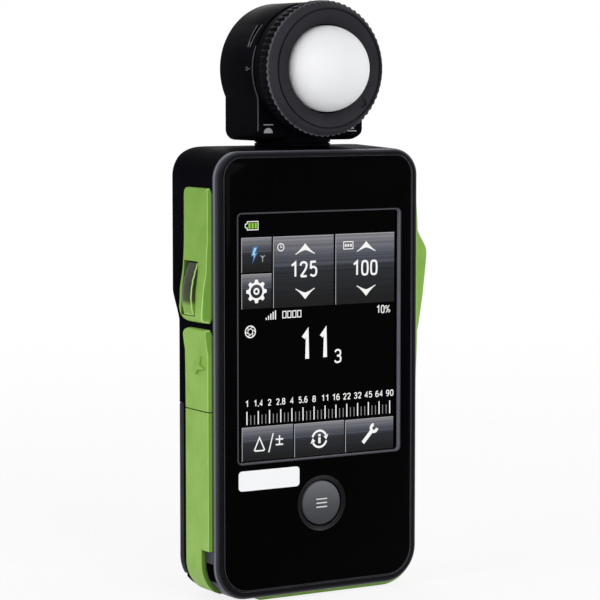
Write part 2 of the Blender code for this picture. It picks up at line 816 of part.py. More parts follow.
def make_battery_door(looks):
    """The door wraps both rear edges. Its inside is straight, so it slides down off its seat."""
    rings = []
    inner = LOWER_DEPTH - DOOR_THICKNESS
    for z in shell_heights(DOOR_LOW, DOOR_HIGH):
        half = half_width(z)
        outer = [(half, DOOR_EDGE)]
        outer += arc((half - REAR_EDGE, LOWER_DEPTH - REAR_EDGE), REAR_EDGE, 0, 90, 5)
        outer += arc((-half + REAR_EDGE, LOWER_DEPTH - REAR_EDGE), REAR_EDGE, 90, 180, 5)
        outer += [(-half, DOOR_EDGE)]
        inside = [(-DOOR_HALF, DOOR_EDGE), (-DOOR_HALF, inner - 0.6), (-DOOR_HALF + 0.6, inner)]
        inside += [(DOOR_HALF - 0.6, inner), (DOOR_HALF, inner - 0.6), (DOOR_HALF, DOOR_EDGE)]
        rings.append([(x, depth, z) for x, depth in outer + inside])
    door = loft("battery_door", rings, looks["shell"])
    for i in range(5):
        z = DOOR_HIGH - 4.0 - 1.6 * i
        reach = 7.0 - 0.7 * abs(i - 2)
        groove = box(f"door_groove_{i}", (-reach, reach), (LOWER_DEPTH - 0.4, 22.0), (z - 0.4, z + 0.4))
        cut(door, groove)
    return door


def make_battery(looks):
    """Two cells lying side by side, opposite ways up, with their contacts."""
    nub = 0.9
    low_plate = BAY_LOW + GAP
    plate = 0.4
    left_low = 7.0
    right_low = low_plate + plate + GAP
    for name, x, low, up in (
        ("battery_cell_left", -CELL_X, left_low, True),
        ("battery_cell_right", CELL_X, right_low, False),
    ):
        ends = (low, low + CELL_LENGTH - nub) if up else (low + nub, low + CELL_LENGTH)
        tip = (ends[1], ends[1] + nub) if up else (ends[0], ends[0] - nub)
        profile = [
            (0.0, ends[0]),
            (CELL_RADIUS - 0.4, ends[0]),
            (CELL_RADIUS, ends[0] + 0.4),
            (CELL_RADIUS, ends[1] - 0.4),
            (CELL_RADIUS - 0.4, ends[1]),
        ]
        if up:
            profile += [(1.9, tip[0]), (1.9, tip[1]), (0.0, tip[1])]
        else:
            profile += [(0.0, ends[1])]
            profile[:2] = [(0.0, tip[1]), (1.9, tip[1]), (1.9, tip[0]), (CELL_RADIUS - 0.4, tip[0])]
        turned(name, profile, looks["cell"], "z", 16, (x, CELL_DEPTH))
    reach = CELL_X + 4.6
    box("battery_bridge", (-reach, reach), (8.6, 16.1), (low_plate, low_plate + plate), looks["steel"])
    high_plate = BAY_HIGH - GAP - plate
    for name, x in (("battery_contact_left", -CELL_X), ("battery_contact_right", CELL_X)):
        box(name, (x - 4.4, x + 4.4), (8.6, 16.1), (high_plate, high_plate + plate), looks["steel"])
    make_spring(looks, "battery_spring_left", -CELL_X, low_plate + plate + GAP, left_low - GAP)
    right_top = right_low + CELL_LENGTH
    make_spring(looks, "battery_spring_right", CELL_X, right_top + GAP, high_plate - GAP)


def make_spring(looks, name, x, low, high):
    """A flat conical contact spring: one rising spiral of round wire, filled at its ends."""
    turns = 2.0
    steps_per_turn = 10
    wire = 0.3
    curve = bpy.data.curves.new(name, "CURVE")
    curve.dimensions = "3D"
    curve.bevel_depth = wire * MM
    curve.bevel_resolution = 0
    curve.use_fill_caps = True
    count = int(turns * steps_per_turn)
    line = curve.splines.new("POLY")
    line.points.add(count)
    for i in range(count + 1):
        share = i / count
        radius = 3.6 - 1.9 * share
        turn = 2 * pi * turns * share
        height = low + wire + share * (high - low - 2 * wire)
        point = place(x + radius * cos(turn), CELL_DEPTH + radius * sin(turn), height)
        line.points[i].co = (*point, 1.0)
    obj = bpy.data.objects.new(name, curve)
    bpy.context.scene.collection.objects.link(obj)
    curve.materials.append(looks["steel"])
    return obj


def make_fasteners(looks):
    for index, (x, z) in enumerate(boss_places(), 1):
        upper = z > BUSH_Z
        seat = (19.0 if upper else 15.6) + GAP
        tip = 4.4
        profile = [(0.0, tip), (1.0, tip), (1.0, seat), (1.9, seat), (1.9, seat + 0.9), (1.3, seat + 1.4)]
        profile += [(0.0, seat + 1.4)]
        turned(f"case_screw_{index}", profile, looks["steel"], "y", 10, (x, z))
    bush = [
        (BUSH_BORE, 12.0),
        (BUSH_RADIUS, 12.0),
        (BUSH_RADIUS, LOWER_DEPTH - 0.2),
        (BUSH_BORE + 0.4, LOWER_DEPTH - 0.2),
        (BUSH_BORE, LOWER_DEPTH - 0.6),
    ]
    turned("tripod_bush", bush, looks["brass"], "y", 20, (0.0, BUSH_Z))


def make_sync_terminal(looks):
    centre = (SYNC_DEPTH, SYNC_Z)
    mouth = -BODY_HALF + 1.8
    root = -BODY_HALF + 10.0
    tube = [(SYNC_RADIUS - 0.6, mouth), (SYNC_RADIUS, mouth), (SYNC_RADIUS, root), (SYNC_RADIUS - 0.6, root)]
    turned("sync_terminal", tube, looks["steel"], "x", 20, centre)
    core = [(0.9, root - 3.2), (SYNC_RADIUS - 0.9, root - 3.2), (SYNC_RADIUS - 0.9, root), (0.9, root)]
    turned("sync_insulator", core, looks["ivory"], "x", 16, centre)
    pin = [(0.0, mouth + 0.8), (0.4, mouth + 0.8), (0.6, mouth + 1.1), (0.6, root), (0.0, root)]
    turned("sync_pin", pin, looks["brass"], "x", 12, centre)


# Grips, flap and buttons


def make_grips(looks):
    upper = strip("left_upper_grip", -1, upper_grip_stations(), looks["green"])
    memory = (MEMORY_FRONT, MEMORY_BACK), (MEMORY_LOW, MEMORY_HIGH)
    cut(upper, plate_pocket("memory_recess", -1, *memory))
    lower = strip("left_lower_grip", -1, lower_grip_stations(), looks["green"])
    relief = box(
        "lower_grip_relief",
        (-40.0, 0.0),
        (0.0, STRAP_BACK - 0.4),
        (BODY_LOW - 5, STRAP_BLOCK_TOP),
    )
    cut(lower, relief)
    right = strip("right_grip", 1, right_grip_stations(), looks["green"], ridge=RIGHT_RIDGE)
    measure = (MEASURE_FRONT, MEASURE_BACK), (MEASURE_LOW, MEASURE_HIGH)
    cut(right, plate_pocket("measure_recess", 1, *measure))


def make_flap(looks):
    flap = strip("sync_flap", -1, flap_stations(), looks["green"])
    plug = rod("flap_plug", (SYNC_DEPTH, SYNC_Z), SYNC_PLUG, -BODY_HALF - 0.2, -BODY_HALF + 1.5, "x")
    join(flap, plug)
    return flap


def add_stem(button, name, side, stem, plate_inner):
    """The stem through the wall and the snap flange behind it."""
    depth, z = stem
    wall_inner = BODY_HALF - WALL
    reach = sorted((side * (plate_inner + 0.3), side * (wall_inner - 0.7)))
    join(button, box(f"{name}_stem", reach, depth, z))
    flange = sorted((side * (wall_inner - GAP), side * (wall_inner - 1.1)))
    grown = (depth[0] - 0.9, depth[1] + 0.9), (z[0] - 0.9, z[1] + 0.9)
    join(button, box(f"{name}_flange", flange, *grown))


def make_memory_button(looks):
    """The face is crowned lengthwise and falls away to the back."""
    inner = BODY_HALF - GAP
    rings = []
    for i in range(9):
        share = i / 8
        z = MEMORY_LOW + share * (MEMORY_HIGH - MEMORY_LOW)
        crown = 1.2 + 1.3 * sin(pi * (0.12 + 0.80 * (1 - share)))
        if i in (0, 8):
            crown -= 0.35
        face = BODY_HALF + crown
        outline = [
            (-inner, MEMORY_FRONT),
            (-face + 0.25, MEMORY_FRONT),
            (-face, MEMORY_FRONT + 0.35),
            (-face + 0.25, MEMORY_FRONT + 3.2),
            (-face + 0.95, MEMORY_BACK - 0.5),
            (-face + 1.35, MEMORY_BACK),
            (-inner, MEMORY_BACK),
        ]
        rings.append([(x, depth, z) for x, depth in outline])
    button = loft("memory_button", rings, looks["green"])
    add_stem(button, "memory", -1, memory_stem(), inner)
    return button


def make_measure_button(looks):
    """A wedge that rises fast at its upper end and runs out slowly downwards."""
    inner = BODY_HALF - GAP
    span = MEASURE_HIGH - MEASURE_LOW
    shape = (
        (0.0, 1.7),
        (0.04, 2.2),
        (0.36, 3.55),
        (0.70, 4.55),
        (0.79, 4.7),
        (0.83, 4.4),
        (0.88, 3.5),
        (0.93, 2.7),
        (0.98, 2.1),
        (1.0, 1.7),
    )
    rings = []
    for share, proud in shape:
        z = MEASURE_LOW + share * span
        face = BODY_HALF + proud
        lip = min(0.5, 0.5 * proud)
        outline = [
            (inner, MEASURE_FRONT),
            (face - lip, MEASURE_FRONT),
            (face - 0.25 * lip, MEASURE_FRONT + 0.5 * lip),
            (face, MEASURE_FRONT + 1.2 * lip),
            (face, MEASURE_BACK - 1.2 * lip),
            (face - lip, MEASURE_BACK),
            (inner, MEASURE_BACK),
        ]
        rings.append([(x, depth, z) for x, depth in outline])
    button = loft("measure_button", rings, looks["green"])
    add_stem(button, "measure", 1, measure_stem(), inner)
    return button


def make_round_buttons(looks):
    menu = [
        (0.0, MENU_FACE + 0.12),
        (3.4, MENU_FACE + 0.02),
        (MENU_RADIUS - 0.5, MENU_FACE),
        (MENU_RADIUS - 0.12, MENU_FACE + 0.15),
        (MENU_RADIUS, MENU_FACE + 0.5),
        (MENU_RADIUS, 2.5),
        (MENU_RADIUS + 1.0, 2.5),
        (MENU_RADIUS + 1.0, 3.0),
        (0.0, 3.0),
    ]
    turned("menu_button", menu, looks["button"], "y", 28, (0.0, MENU_Z))
    power = [
        (0.0, 19.7),
        (POWER_RADIUS + 0.8, 19.7),
        (POWER_RADIUS + 0.8, 20.6),
        (POWER_RADIUS, 20.6),
        (POWER_RADIUS, 23.0),
        (POWER_RADIUS - 0.4, 23.35),
        (0.0, 23.35),
    ]
    turned("power_button", power, looks["button"], "y", 24, (0.0, POWER_Z))


def make_switches(looks):
    """Each switch stands on its board a press away from its button."""
    wall_inner = BODY_HALF - WALL
    tip = wall_inner - 1.1 - PRESS - 0.2
    board_back = BOARD_FACE + BOARD_THICKNESS
    for name, side, stem in (
        ("memory_switch", -1, memory_stem()),
        ("measure_switch", 1, measure_stem()),
    ):
        middle = sum(stem[0]) / 2, sum(stem[1]) / 2
        xs = sorted((side * (tip - 0.4), side * (tip - 4.4)))
        body = box(name, xs, (board_back + GAP, middle[0] + 2.2), (middle[1] - 2.5, middle[1] + 2.5), looks["steel"])
        join(body, rod(f"{name}_tip", middle, 1.2, *sorted((side * tip, side * (tip - 1.0))), "x", None, 12))
    dome = [(0.0, 3.8), (1.4, 3.9), (2.6, 4.3), (2.8, 4.6), (0.0, 4.6)]
    turned("menu_switch", dome, looks["steel"], "y", 20, (0.0, MENU_Z))
    power = [(0.0, 17.7), (2.8, 17.7), (2.8, 18.3), (1.2, 18.4), (1.2, 18.9), (0.0, 18.9)]
    turned("power_switch", power, looks["steel"], "y", 16, (0.0, POWER_Z))


# Head


def make_head_housing(looks):
    profile = [
        (HEAD_BORE, COLLAR_FRONT),
        (COLLAR_RADIUS - 0.15, COLLAR_FRONT),
        (COLLAR_RADIUS, COLLAR_FRONT + 0.15),
        (COLLAR_RADIUS, HEAD_FRONT - 0.3),
        (COLLAR_RADIUS - 0.4, HEAD_FRONT - 0.25),
        (COLLAR_RADIUS - 0.4, HEAD_FRONT),
        (HEAD_RADIUS - 0.15, HEAD_FRONT),
        (HEAD_RADIUS, HEAD_FRONT + 0.2),
        (HEAD_RADIUS, HEAD_BACK - 1.4),
        (HEAD_RADIUS - 0.4, HEAD_BACK - 0.5),
        (HEAD_RADIUS - 1.2, HEAD_BACK),
        (HEAD_BORE, HEAD_BACK),
        (HEAD_BORE, FLANGE_BACK),
        (FLANGE_BORE, FLANGE_BACK),
        (FLANGE_BORE, FLANGE_FRONT),
        (HEAD_BORE, FLANGE_FRONT),
    ]
    housing = turned("head_housing", profile, looks["shell"], "y", 40)
    outline = rounded(-BLOCK_HALF, BLOCK_HALF, BLOCK_LOW, HEAD_Z, 1.6, 0.2, 4)
    rings = []
    for inset, depth in ((0.35, HEAD_FRONT - 0.05), (0.0, HEAD_FRONT + 0.3), (0.0, HEAD_BACK - 1.0), (1.0, HEAD_BACK - 0.05)):
        middle = (BLOCK_LOW + HEAD_Z) / 2
        scale_x = 1 - inset / BLOCK_HALF
        scale_z = 1 - inset / (HEAD_Z - middle)
        rings.append([(x * scale_x, depth, middle + (z - middle) * scale_z) for x, z in outline])
    block = loft("head_block", rings)
    cut(block, rod("head_block_bore", (0.0, HEAD_Z), HEAD_BORE + 0.9, 0.0, 30.0, "y", None, 40))
    join(housing, block)
    neck = [
        (WIRE_BORE - 0.5, NECK_END),
        (NECK_SHAFT, NECK_END),
        (NECK_SHAFT, BODY_HIGH + GAP),
        (NECK_RADIUS, BODY_HIGH + GAP),
        (NECK_RADIUS, BLOCK_LOW + 1.4),
        (WIRE_BORE - 0.5, BLOCK_LOW + 1.4),
    ]
    join(housing, turned("head_neck", neck, None, "z", 24, (0.0, SWIVEL_DEPTH)))
    bore_top = HEAD_Z - HEAD_BORE + 1.2
    cut(housing, rod("wire_bore", (0.0, SWIVEL_DEPTH), WIRE_BORE, NECK_END - 2, bore_top, "z"))
    cut(housing, side_slot())
    for side in (-1, 1):
        hole = rod(f"flange_screw_hole_{side}", (side * 9.5, HEAD_Z), 1.2, 14.0, 18.0, "y", None, 12)
        cut(housing, hole)
    return housing


def side_slot():
    """The short index slot that follows the drum's curve on its left side."""
    rings = []
    for i in range(7):
        turn = radians(180 - 18.6 - 22.4 * i / 6)
        section = [(15.1, 7.2), (17.0, 7.2), (17.0, 8.4), (15.1, 8.4)]
        rings.append([(r * cos(turn), d, HEAD_Z + r * sin(turn)) for r, d in section])
    return loft("side_slot", rings)


def make_head_inside(looks):
    cover_profile = [
        (0.0, 18.5),
        (HEAD_BORE - GAP, 18.5),
        (HEAD_BORE - GAP, HEAD_BACK - 0.3),
        (HEAD_BORE - GAP - 0.4, HEAD_BACK),
        (10.9, HEAD_BACK),
        (10.5, HEAD_BACK - 0.3),
        (0.0, HEAD_BACK - 0.3),
    ]
    cover = turned("head_rear_cover", cover_profile, looks["shell"], "y", 28)
    board = turned("sensor_board", [(0.0, 17.3), (13.3, 17.3), (13.3, 18.1), (0.0, 18.1)], looks["board"], "y", 20)
    for side in (-1, 1):
        place_xz = (side * 9.5, HEAD_Z)
        cut(cover, rod(f"cover_hole_{side}", place_xz, 1.2, 17.0, 22.0, "y", None, 12))
        cut(cover, rod(f"cover_counterbore_{side}", place_xz, 2.2, 19.1, 22.0, "y", None, 20))
        cut(board, rod(f"sensor_board_hole_{side}", place_xz, 1.2, 16.0, 19.0, "y", None, 12))
        screw = [(0.0, 15.9), (0.9, 15.9), (0.9, 19.4), (1.9, 19.4), (1.9, 19.9), (1.4, 20.2), (0.0, 20.2)]
        turned(f"head_screw_{(side + 3) // 2}", screw, looks["steel"], "y", 10, place_xz)
    turned("photodiode", [(0.0, 14.5), (2.6, 14.5), (2.8, 14.8), (2.8, 17.0), (0.0, 17.0)], looks["steel"], "y", 16)
    turned("sensor_filter", [(0.0, 13.2), (6.6, 13.2), (6.6, 14.0), (0.0, 14.0)], looks["filter"], "y", 20)
    ceiling = BODY_HIGH - WALL
    bore = NECK_SHAFT + GAP
    retainer = [(bore, ceiling - 2.8), (7.7, ceiling - 2.8), (7.7, ceiling - 1.1), (bore, ceiling - 1.1)]
    turned("swivel_retainer", retainer, looks["steel"], "z", 20, (0.0, SWIVEL_DEPTH))
    washer = [(bore, ceiling - 0.8), (7.5, ceiling - 0.8), (7.5, ceiling - GAP), (bore, ceiling - GAP)]
    turned("swivel_washer", washer, looks["brass"], "z", 20, (0.0, SWIVEL_DEPTH))


def pin_angles():
    return [90.0 + 360.0 * i / PIN_COUNT for i in range(PIN_COUNT)]


def make_guide_tube(looks):
    """The fixed tube whose straight slots stop the lumisphere from turning."""
    profile = [
        (GUIDE_INNER, -1.0),
        (GUIDE_OUTER, -1.0),
        (GUIDE_OUTER, 15.3),
        (5.2, 15.3),
        (5.2, 14.3),
        (GUIDE_INNER, 14.3),
    ]
    tube = turned("guide_tube", profile, looks["shell"], "y", 30)
    half = PIN_RADIUS + GAP
    for index, angle in enumerate(pin_angles()):
        middle = radians(angle)
        rings = []
        for depth in (PIN_DEPTH - half, PIN_DEPTH + TRAVEL + half):
            ring = []
            for radius, across in ((9.0, -half), (14.0, -half), (14.0, half), (9.0, half)):
                x = radius * cos(middle) - across * sin(middle)
                z = radius * sin(middle) + across * cos(middle)
                ring.append((x, depth, HEAD_Z + z))
            rings.append(ring)
        cut(tube, loft(f"guide_slot_{index}", rings))
    return tube


def make_cam_sleeve(looks):
    """The sleeve that turns with the ring. Its helical slots drive the pins along the axis."""
    profile = [
        (SLEEVE_INNER, RING_WEB_BACK + GAP),
        (SLEEVE_OUTER, RING_WEB_BACK + GAP),
        (SLEEVE_OUTER, SLEEVE_BACK),
        (SLEEVE_INNER, SLEEVE_BACK),
    ]
    sleeve = turned("cam_sleeve", profile, looks["brass"], "y", 36)
    for index, angle in enumerate(pin_angles()):
        cut(sleeve, helical_slot(f"cam_slot_{index}", angle))
    return sleeve


def helical_slot(name, start_angle):
    """A slot that climbs the full travel while the ring turns its full range.

    Seen from the front the ring turns clockwise, so in the sleeve the slot runs the other
    way round from the pin's place at rest.
    """
    half = PIN_RADIUS + GAP
    mean = (SLEEVE_INNER + SLEEVE_OUTER) / 2
    run = mean * radians(RING_TURN)
    slope = atan2(TRAVEL, run)
    steps = 8
    over = half / hypot(run, TRAVEL)
    rings = []
    for i in range(steps + 1):
        share = -over + (1 + 2 * over) * i / steps
        along = run * share
        depth = PIN_DEPTH + TRAVEL * share
        ring = []
        for radius, across in ((10.9, -half), (14.6, -half), (14.6, half), (10.9, half)):
            arc_length = along - across * sin(slope)
            turn = radians(start_angle) + arc_length / mean
            ring.append((radius * cos(turn), depth + across * cos(slope), HEAD_Z + radius * sin(turn)))
        rings.append(ring)
    return loft(name, rings)


def make_ring(looks):
    """The knurled ring: a dished face, a fine groove, a cone and a scalloped rim."""
    profile = [
        (RING_BORE, DOME_BASE - 0.1),
        (RING_FACE_RADIUS, RING_FRONT + 0.12),
        (RING_FACE_RADIUS + 0.05, RING_FRONT + 0.45),
        (RING_FACE_RADIUS + 0.32, RING_FRONT + 0.45),
        (RING_FACE_RADIUS + 0.37, RING_FRONT + 0.05),
        (RING_FACE_RADIUS + 0.7, RING_FRONT),
        (RING_RADIUS - 0.65, RING_FRONT + 1.3),
        (RING_RADIUS - 0.65, RING_BACK),
        (SLEEVE_OUTER + GAP, RING_BACK),
        (SLEEVE_OUTER + GAP, RING_WEB_BACK),
        (RING_BORE, RING_WEB_BACK),
    ]
    rim = [
        (RING_RADIUS - 1.2, RING_FRONT + 1.2),
        (RING_RADIUS, RING_FRONT + 1.9),
        (RING_RADIUS, RING_BACK - 0.3),
        (RING_RADIUS - 0.45, RING_BACK - 0.02),
        (RING_RADIUS - 1.2, RING_BACK - 0.02),
    ]
    fluted = (1, 2)

    def radius_at(index, turn):
        radius = rim[index][0]
        if index in fluted:
            radius -= FLUTE_DEPTH * 0.5 * (1 + cos(FLUTES * turn))
        return radius

    ring = turned("retract_ring", profile, looks["shell"], "y", FLUTES)
    join(ring, turned("ring_rim", rim, None, "y", FLUTES * FLUTE_STEPS, None, radius_at))
    cut(ring, index_mark())
    return ring


def index_mark():
    """The short round-ended recess in the ring's face that points at the chosen position."""
    turn = radians(INDEX_ANGLE)
    half = 1.15
    inner, outer = RING_BORE + 0.9, RING_FACE_RADIUS - 0.3 - half
    outline = [(inner, -half)] + arc((outer, 0.0), half, -90, 90, 6) + [(inner, half)]
    placed = []
    for along, across in outline:
        x = along * cos(turn) - across * sin(turn)
        z = along * sin(turn) + across * cos(turn)
        placed.append((x, HEAD_Z + z))
    return prism("index_mark", placed, RING_FRONT - 1.0, RING_FRONT + 0.95, "y")


def make_lumisphere(looks):
    outer = arc((0.0, DOME_BASE), DOME_RADIUS, 0, -90, 8)
    inner = arc((0.0, DOME_BASE), DOME_RADIUS - DOME_WALL, -90, 0, 5)
    outer[-1] = (0.0, outer[-1][1])
    inner[0] = (0.0, inner[0][1])
    back = DOME_BASE + DOME_SKIRT
    profile = [(DOME_RADIUS, back)] + outer + inner + [(DOME_RADIUS - DOME_WALL, back)]
    turned("lumisphere", profile, looks["dome"], "y", 32)
    front = back + GAP
    carrier_profile = [(8.6, front), (10.15, front), (10.15, 3.2), (8.6, 3.2)]
    carrier = turned("lumisphere_carrier", carrier_profile, looks["shell"], "y", 28)
    for index, angle in enumerate(pin_angles()):
        middle = radians(angle)
        rings = []
        for radius in (9.2, SLEEVE_OUTER - 0.4):
            ring = []
            for across, depth in circle((0.0, PIN_DEPTH), PIN_RADIUS, 12):
                x = radius * cos(middle) - across * sin(middle)
                z = radius * sin(middle) + across * cos(middle)
                ring.append((x, depth, HEAD_Z + z))
            rings.append(ring)
        join(carrier, loft(f"follower_pin_{index}", rings))


# Joint axes


def hang(name, at, nodes, parent=None):
    """An empty on a joint's axis that carries the pieces that move with it."""
    empty = bpy.data.objects.new(name, None)
    empty.empty_display_size = 0.01
    empty.location = place(*at)
    bpy.context.scene.collection.objects.link(empty)
    bpy.context.view_layer.update()
    if parent:
        empty.parent = parent
        empty.matrix_parent_inverse = Matrix.Translation(-place(*parent["at"]))
    empty["at"] = at
    for node in nodes:
        piece = bpy.data.objects[node]
        piece.parent = empty
        piece.matrix_parent_inverse = Matrix.Translation(-place(*at))
    return empty


def make_joints():
    head_nodes = ["head_housing", "head_rear_cover", "head_screw_1", "head_screw_2", "sensor_board"]
    head_nodes += ["photodiode", "sensor_filter", "guide_tube", "swivel_retainer", "swivel_washer"]
    head = hang("head_swivel_axis", (0.0, SWIVEL_DEPTH, BODY_HIGH), head_nodes)
    hang("ring_axis", (0.0, RING_FRONT, HEAD_Z), ["retract_ring", "cam_sleeve"], head)
    dome_nodes = ["lumisphere", "lumisphere_carrier"]
    hang("lumisphere_axis", (0.0, DOME_BASE, HEAD_Z), dome_nodes, head)
    flap_at = (-BODY_HALF - GRIP_PROUD - 0.1, GRIP_BACK / 2, FLAP_END - 0.15)
    hang("flap_hinge_axis", flap_at, ["sync_flap"])
    hang("door_slide_axis", (0.0, LOWER_DEPTH, DOOR_HIGH), ["battery_door"])
    hang("menu_axis", (0.0, MENU_FACE, MENU_Z), ["menu_button"])
    hang("power_axis", (0.0, UPPER_DEPTH, POWER_Z), ["power_button"])
    hang("memory_axis", (-BODY_HALF, MEMORY_BACK, MEMORY_LOW), ["memory_button"])
    hang("measure_axis", (BODY_HALF, MEASURE_BACK, MEASURE_LOW), ["measure_button"])


def main():
    clear_scene()
    looks = make_materials()
    make_front_frame(looks)
    make_front_panel(looks)
    make_display(looks)
    make_boards(looks)
    make_rear_shell(looks)
    make_battery_door(looks)
    make_battery(looks)
    make_fasteners(looks)
    make_sync_terminal(looks)
    make_grips(looks)
    make_flap(looks)
    make_memory_button(looks)
    make_measure_button(looks)
    make_round_buttons(looks)
    make_switches(looks)
    make_head_housing(looks)
    make_head_inside(looks)
    make_guide_tube(looks)
    make_cam_sleeve(looks)
    make_ring(looks)
    make_lumisphere(looks)
    make_joints()
    sweep = degrees(2 * pi / FLUTES)
    print(f"ring knurl pitch {sweep:.1f} degrees")


main()
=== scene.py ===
"""The looks of a handheld exposure meter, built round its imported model.

Sizes are in millimetres until a mesh is made: x to the right as the screen is read, depth from
the front rim to the back, z up from the surface that the meter stands on. An outline across the
front is a list of (x, z), a turned profile lists (radius, depth), and a section across the
body's edge lists (distance out of the edge, depth).
"""

from math import acos, cos, pi, radians, sin, sqrt

import bmesh
import bpy
from mathutils import Euler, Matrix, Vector


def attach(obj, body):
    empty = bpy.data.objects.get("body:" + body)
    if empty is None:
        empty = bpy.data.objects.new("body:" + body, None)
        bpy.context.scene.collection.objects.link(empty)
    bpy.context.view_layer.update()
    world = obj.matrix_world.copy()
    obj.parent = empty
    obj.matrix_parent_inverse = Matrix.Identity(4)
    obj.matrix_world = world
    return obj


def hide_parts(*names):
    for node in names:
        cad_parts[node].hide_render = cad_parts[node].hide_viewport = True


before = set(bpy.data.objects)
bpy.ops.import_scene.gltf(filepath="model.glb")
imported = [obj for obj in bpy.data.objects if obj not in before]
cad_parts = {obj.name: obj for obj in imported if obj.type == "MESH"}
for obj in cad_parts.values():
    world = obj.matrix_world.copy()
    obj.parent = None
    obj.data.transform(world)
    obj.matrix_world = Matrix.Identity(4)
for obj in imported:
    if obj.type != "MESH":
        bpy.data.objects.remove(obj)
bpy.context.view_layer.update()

MM = 0.001
GAP = 0.3
PAD_ROOT = 0.3
POCKET_ROOM = 0.25

# Body
SWIVEL_DEPTH = 12.6
BODY_HALF = 27.8
BODY_LOW = 1.0
BODY_HIGH = 105.8
CORNER_LOW = 8.5
CORNER_HIGH = 6.6
UPPER_DEPTH = 22.9
LOWER_DEPTH = 19.7
SLOPE_LOW = 65.6
SLOPE_HIGH = 72.4
SHELL_FRONT = 1.9
REAR_EDGE = 2.5
CASE_SCREWS = ((20.5, 98.5, 19.0), (-20.5, 98.5, 19.0), (19.5, 17.5, 15.6), (-19.5, 17.5, 15.6))
DOOR_LOW = 5.3
DOOR_HIGH = 45.8
DOOR_FRONT = 15.9

# Front
PANEL_FACE = 0.05
PANEL_INSET = 2.1
RIM_TAPER_LOW = 96.0
WINDOW_LEFT = -21.95
WINDOW_RIGHT = 22.4
WINDOW_LOW = 33.12
WINDOW_HIGH = 91.04
WINDOW_CORNER = 0.9
GLASS_FACE = 1.15
SCREEN_SHIFT = -0.36
MENU_X = 0.6
MENU_Z = 22.16
DISH_RADIUS = 6.6

# Grips and keys: heights along the side, and depths from front to back
GRIP_FRONT = 2.05
GRIP_BACK = 14.3
UPPER_GRIP = (97.0, 65.8)
SYNC_FLAP = (64.4, 45.5)
LOWER_GRIP_TOP = 45.2
LEFT_PAD_END = 23.3
RIGHT_GRIP_TOP = 95.3
RIGHT_PROUD = 1.1
RIGHT_PAD_END = -15.9
MEMORY_POCKET = ((-40, -26.5), (6.8, 13.6), (67.3, 80.0))
MEASURE_POCKET = ((26.5, 40), (2.9, 13.3), (60.3, 86.3))
SYNC_SPOT = (9.3, 54.7)
POWER_SPOT = (0.0, 88.0)
MEMORY_LOW = 67.6
MEMORY_HIGH = 79.7
MEMORY_FRONT = 7.1
MEMORY_BACK = 13.3
MEASURE_LOW = 60.6
MEASURE_FRONT = 3.2
MEASURE_BACK = 13.0

# Head, ring and dome
HEAD_Z = 124.3
HEAD_BORE = 13.7
HEAD_BACK = 20.5
DRUM_RADIUS = 15.5
BLOCK_SHIFT = 0.33
RING_RADIUS = 15.8
RING_BORE = 10.3
RING_FACE = 13.55
RING_FRONT = -4.4
RING_BACK = 1.5
FLUTES = 64
INDEX_ANGLE = -41.0
DOME_RADIUS = 9.95
DOME_WALL = 1.0
DOME_BASE = -2.9


# Mesh builders


def place(x, depth, z):
    return Vector((x, depth - SWIVEL_DEPTH, z)) * MM


def present(name, data):
    """A new object in the scene."""
    obj = bpy.data.objects.new(name, data)
    bpy.context.scene.collection.objects.link(obj)
    return obj


def raw(name, points, faces, angle=32):
    mesh = bpy.data.meshes.new(name)
    mesh.from_pydata([place(*point) for point in points], [], faces)
    work = bmesh.new()
    work.from_mesh(mesh)
    bmesh.ops.remove_doubles(work, verts=work.verts, dist=1e-7)
    bmesh.ops.recalc_face_normals(work, faces=work.faces)
    work.to_mesh(mesh)
    work.free()
    obj = present(name, mesh)
    shade(obj, angle)
    return obj


def shade(obj, angle=32):
    obj.data.shade_smooth()
    obj.data.set_sharp_from_angle(angle=radians(angle))


def dress(obj, look, body, slot, *nodes):
    """Gives a piece its finish, the body that it rides on and the nodes that it stands for."""
    obj.data.materials.clear()
    obj.data.materials.append(LOOKS[look].material)
    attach(obj, body)
    if nodes:
        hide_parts(*nodes)


def loft(name, rings, closed=False, angle=32):
    """A surface through rings of equal point counts, with flat ends unless it closes on itself."""
    count = len(rings[0])
    points = [point for ring in rings for point in ring]
    faces = []
    if not closed:
        faces = [tuple(range(count)), tuple(range(len(points) - count, len(points)))]
    rows = len(rings) if closed else len(rings) - 1
    for row in range(rows):
        start = row * count
        after = (row + 1) % len(rings) * count
        for i in range(count):
            j = (i + 1) % count
            faces.append((start + i, start + j, after + j, after + i))
    return raw(name, points, faces, angle)


def prism(name, outline, low, high, axis="y"):
    order = {
        "z": lambda a, b, h: (a, b, h),
        "y": lambda a, b, h: (a, h, b),
        "x": lambda a, b, h: (h, a, b),
    }[axis]
    return loft(name, [[order(a, b, h) for a, b in outline] for h in (low, high)])


def box(name, x, depth, z):
    outline = [(x[0], z[0]), (x[1], z[0]), (x[1], z[1]), (x[0], z[1])]
    return prism(name, outline, *depth)


def arc(centre, radius, start, end, steps, rise=None):
    """Points on a circle, or on an ellipse whose height above its centre is given too."""
    rise = radius if rise is None else rise
    turns = [radians(start + (end - start) * i / steps) for i in range(steps + 1)]
    return [(centre[0] + radius * cos(t), centre[1] + rise * sin(t)) for t in turns]


def circle(centre, radius, steps=48):
    return arc(centre, radius, 0, 360 - 360 / steps, steps - 1)


def rounded(left, right, low, high, corner_low, corner_high=None, steps=12):
    top = corner_low if corner_high is None else corner_high
    return (
        arc((left + corner_low, low + corner_low), corner_low, 180, 270, steps)
        + arc((right - corner_low, low + corner_low), corner_low, 270, 360, steps)
        + arc((right - top, high - top), top, 0, 90, steps)
        + arc((left + top, high - top), top, 90, 180, steps)
    )


def rod(name, centre, radius, low, high, axis="y", steps=48):
    return prism(name, circle(centre, radius, steps), low, high, axis)


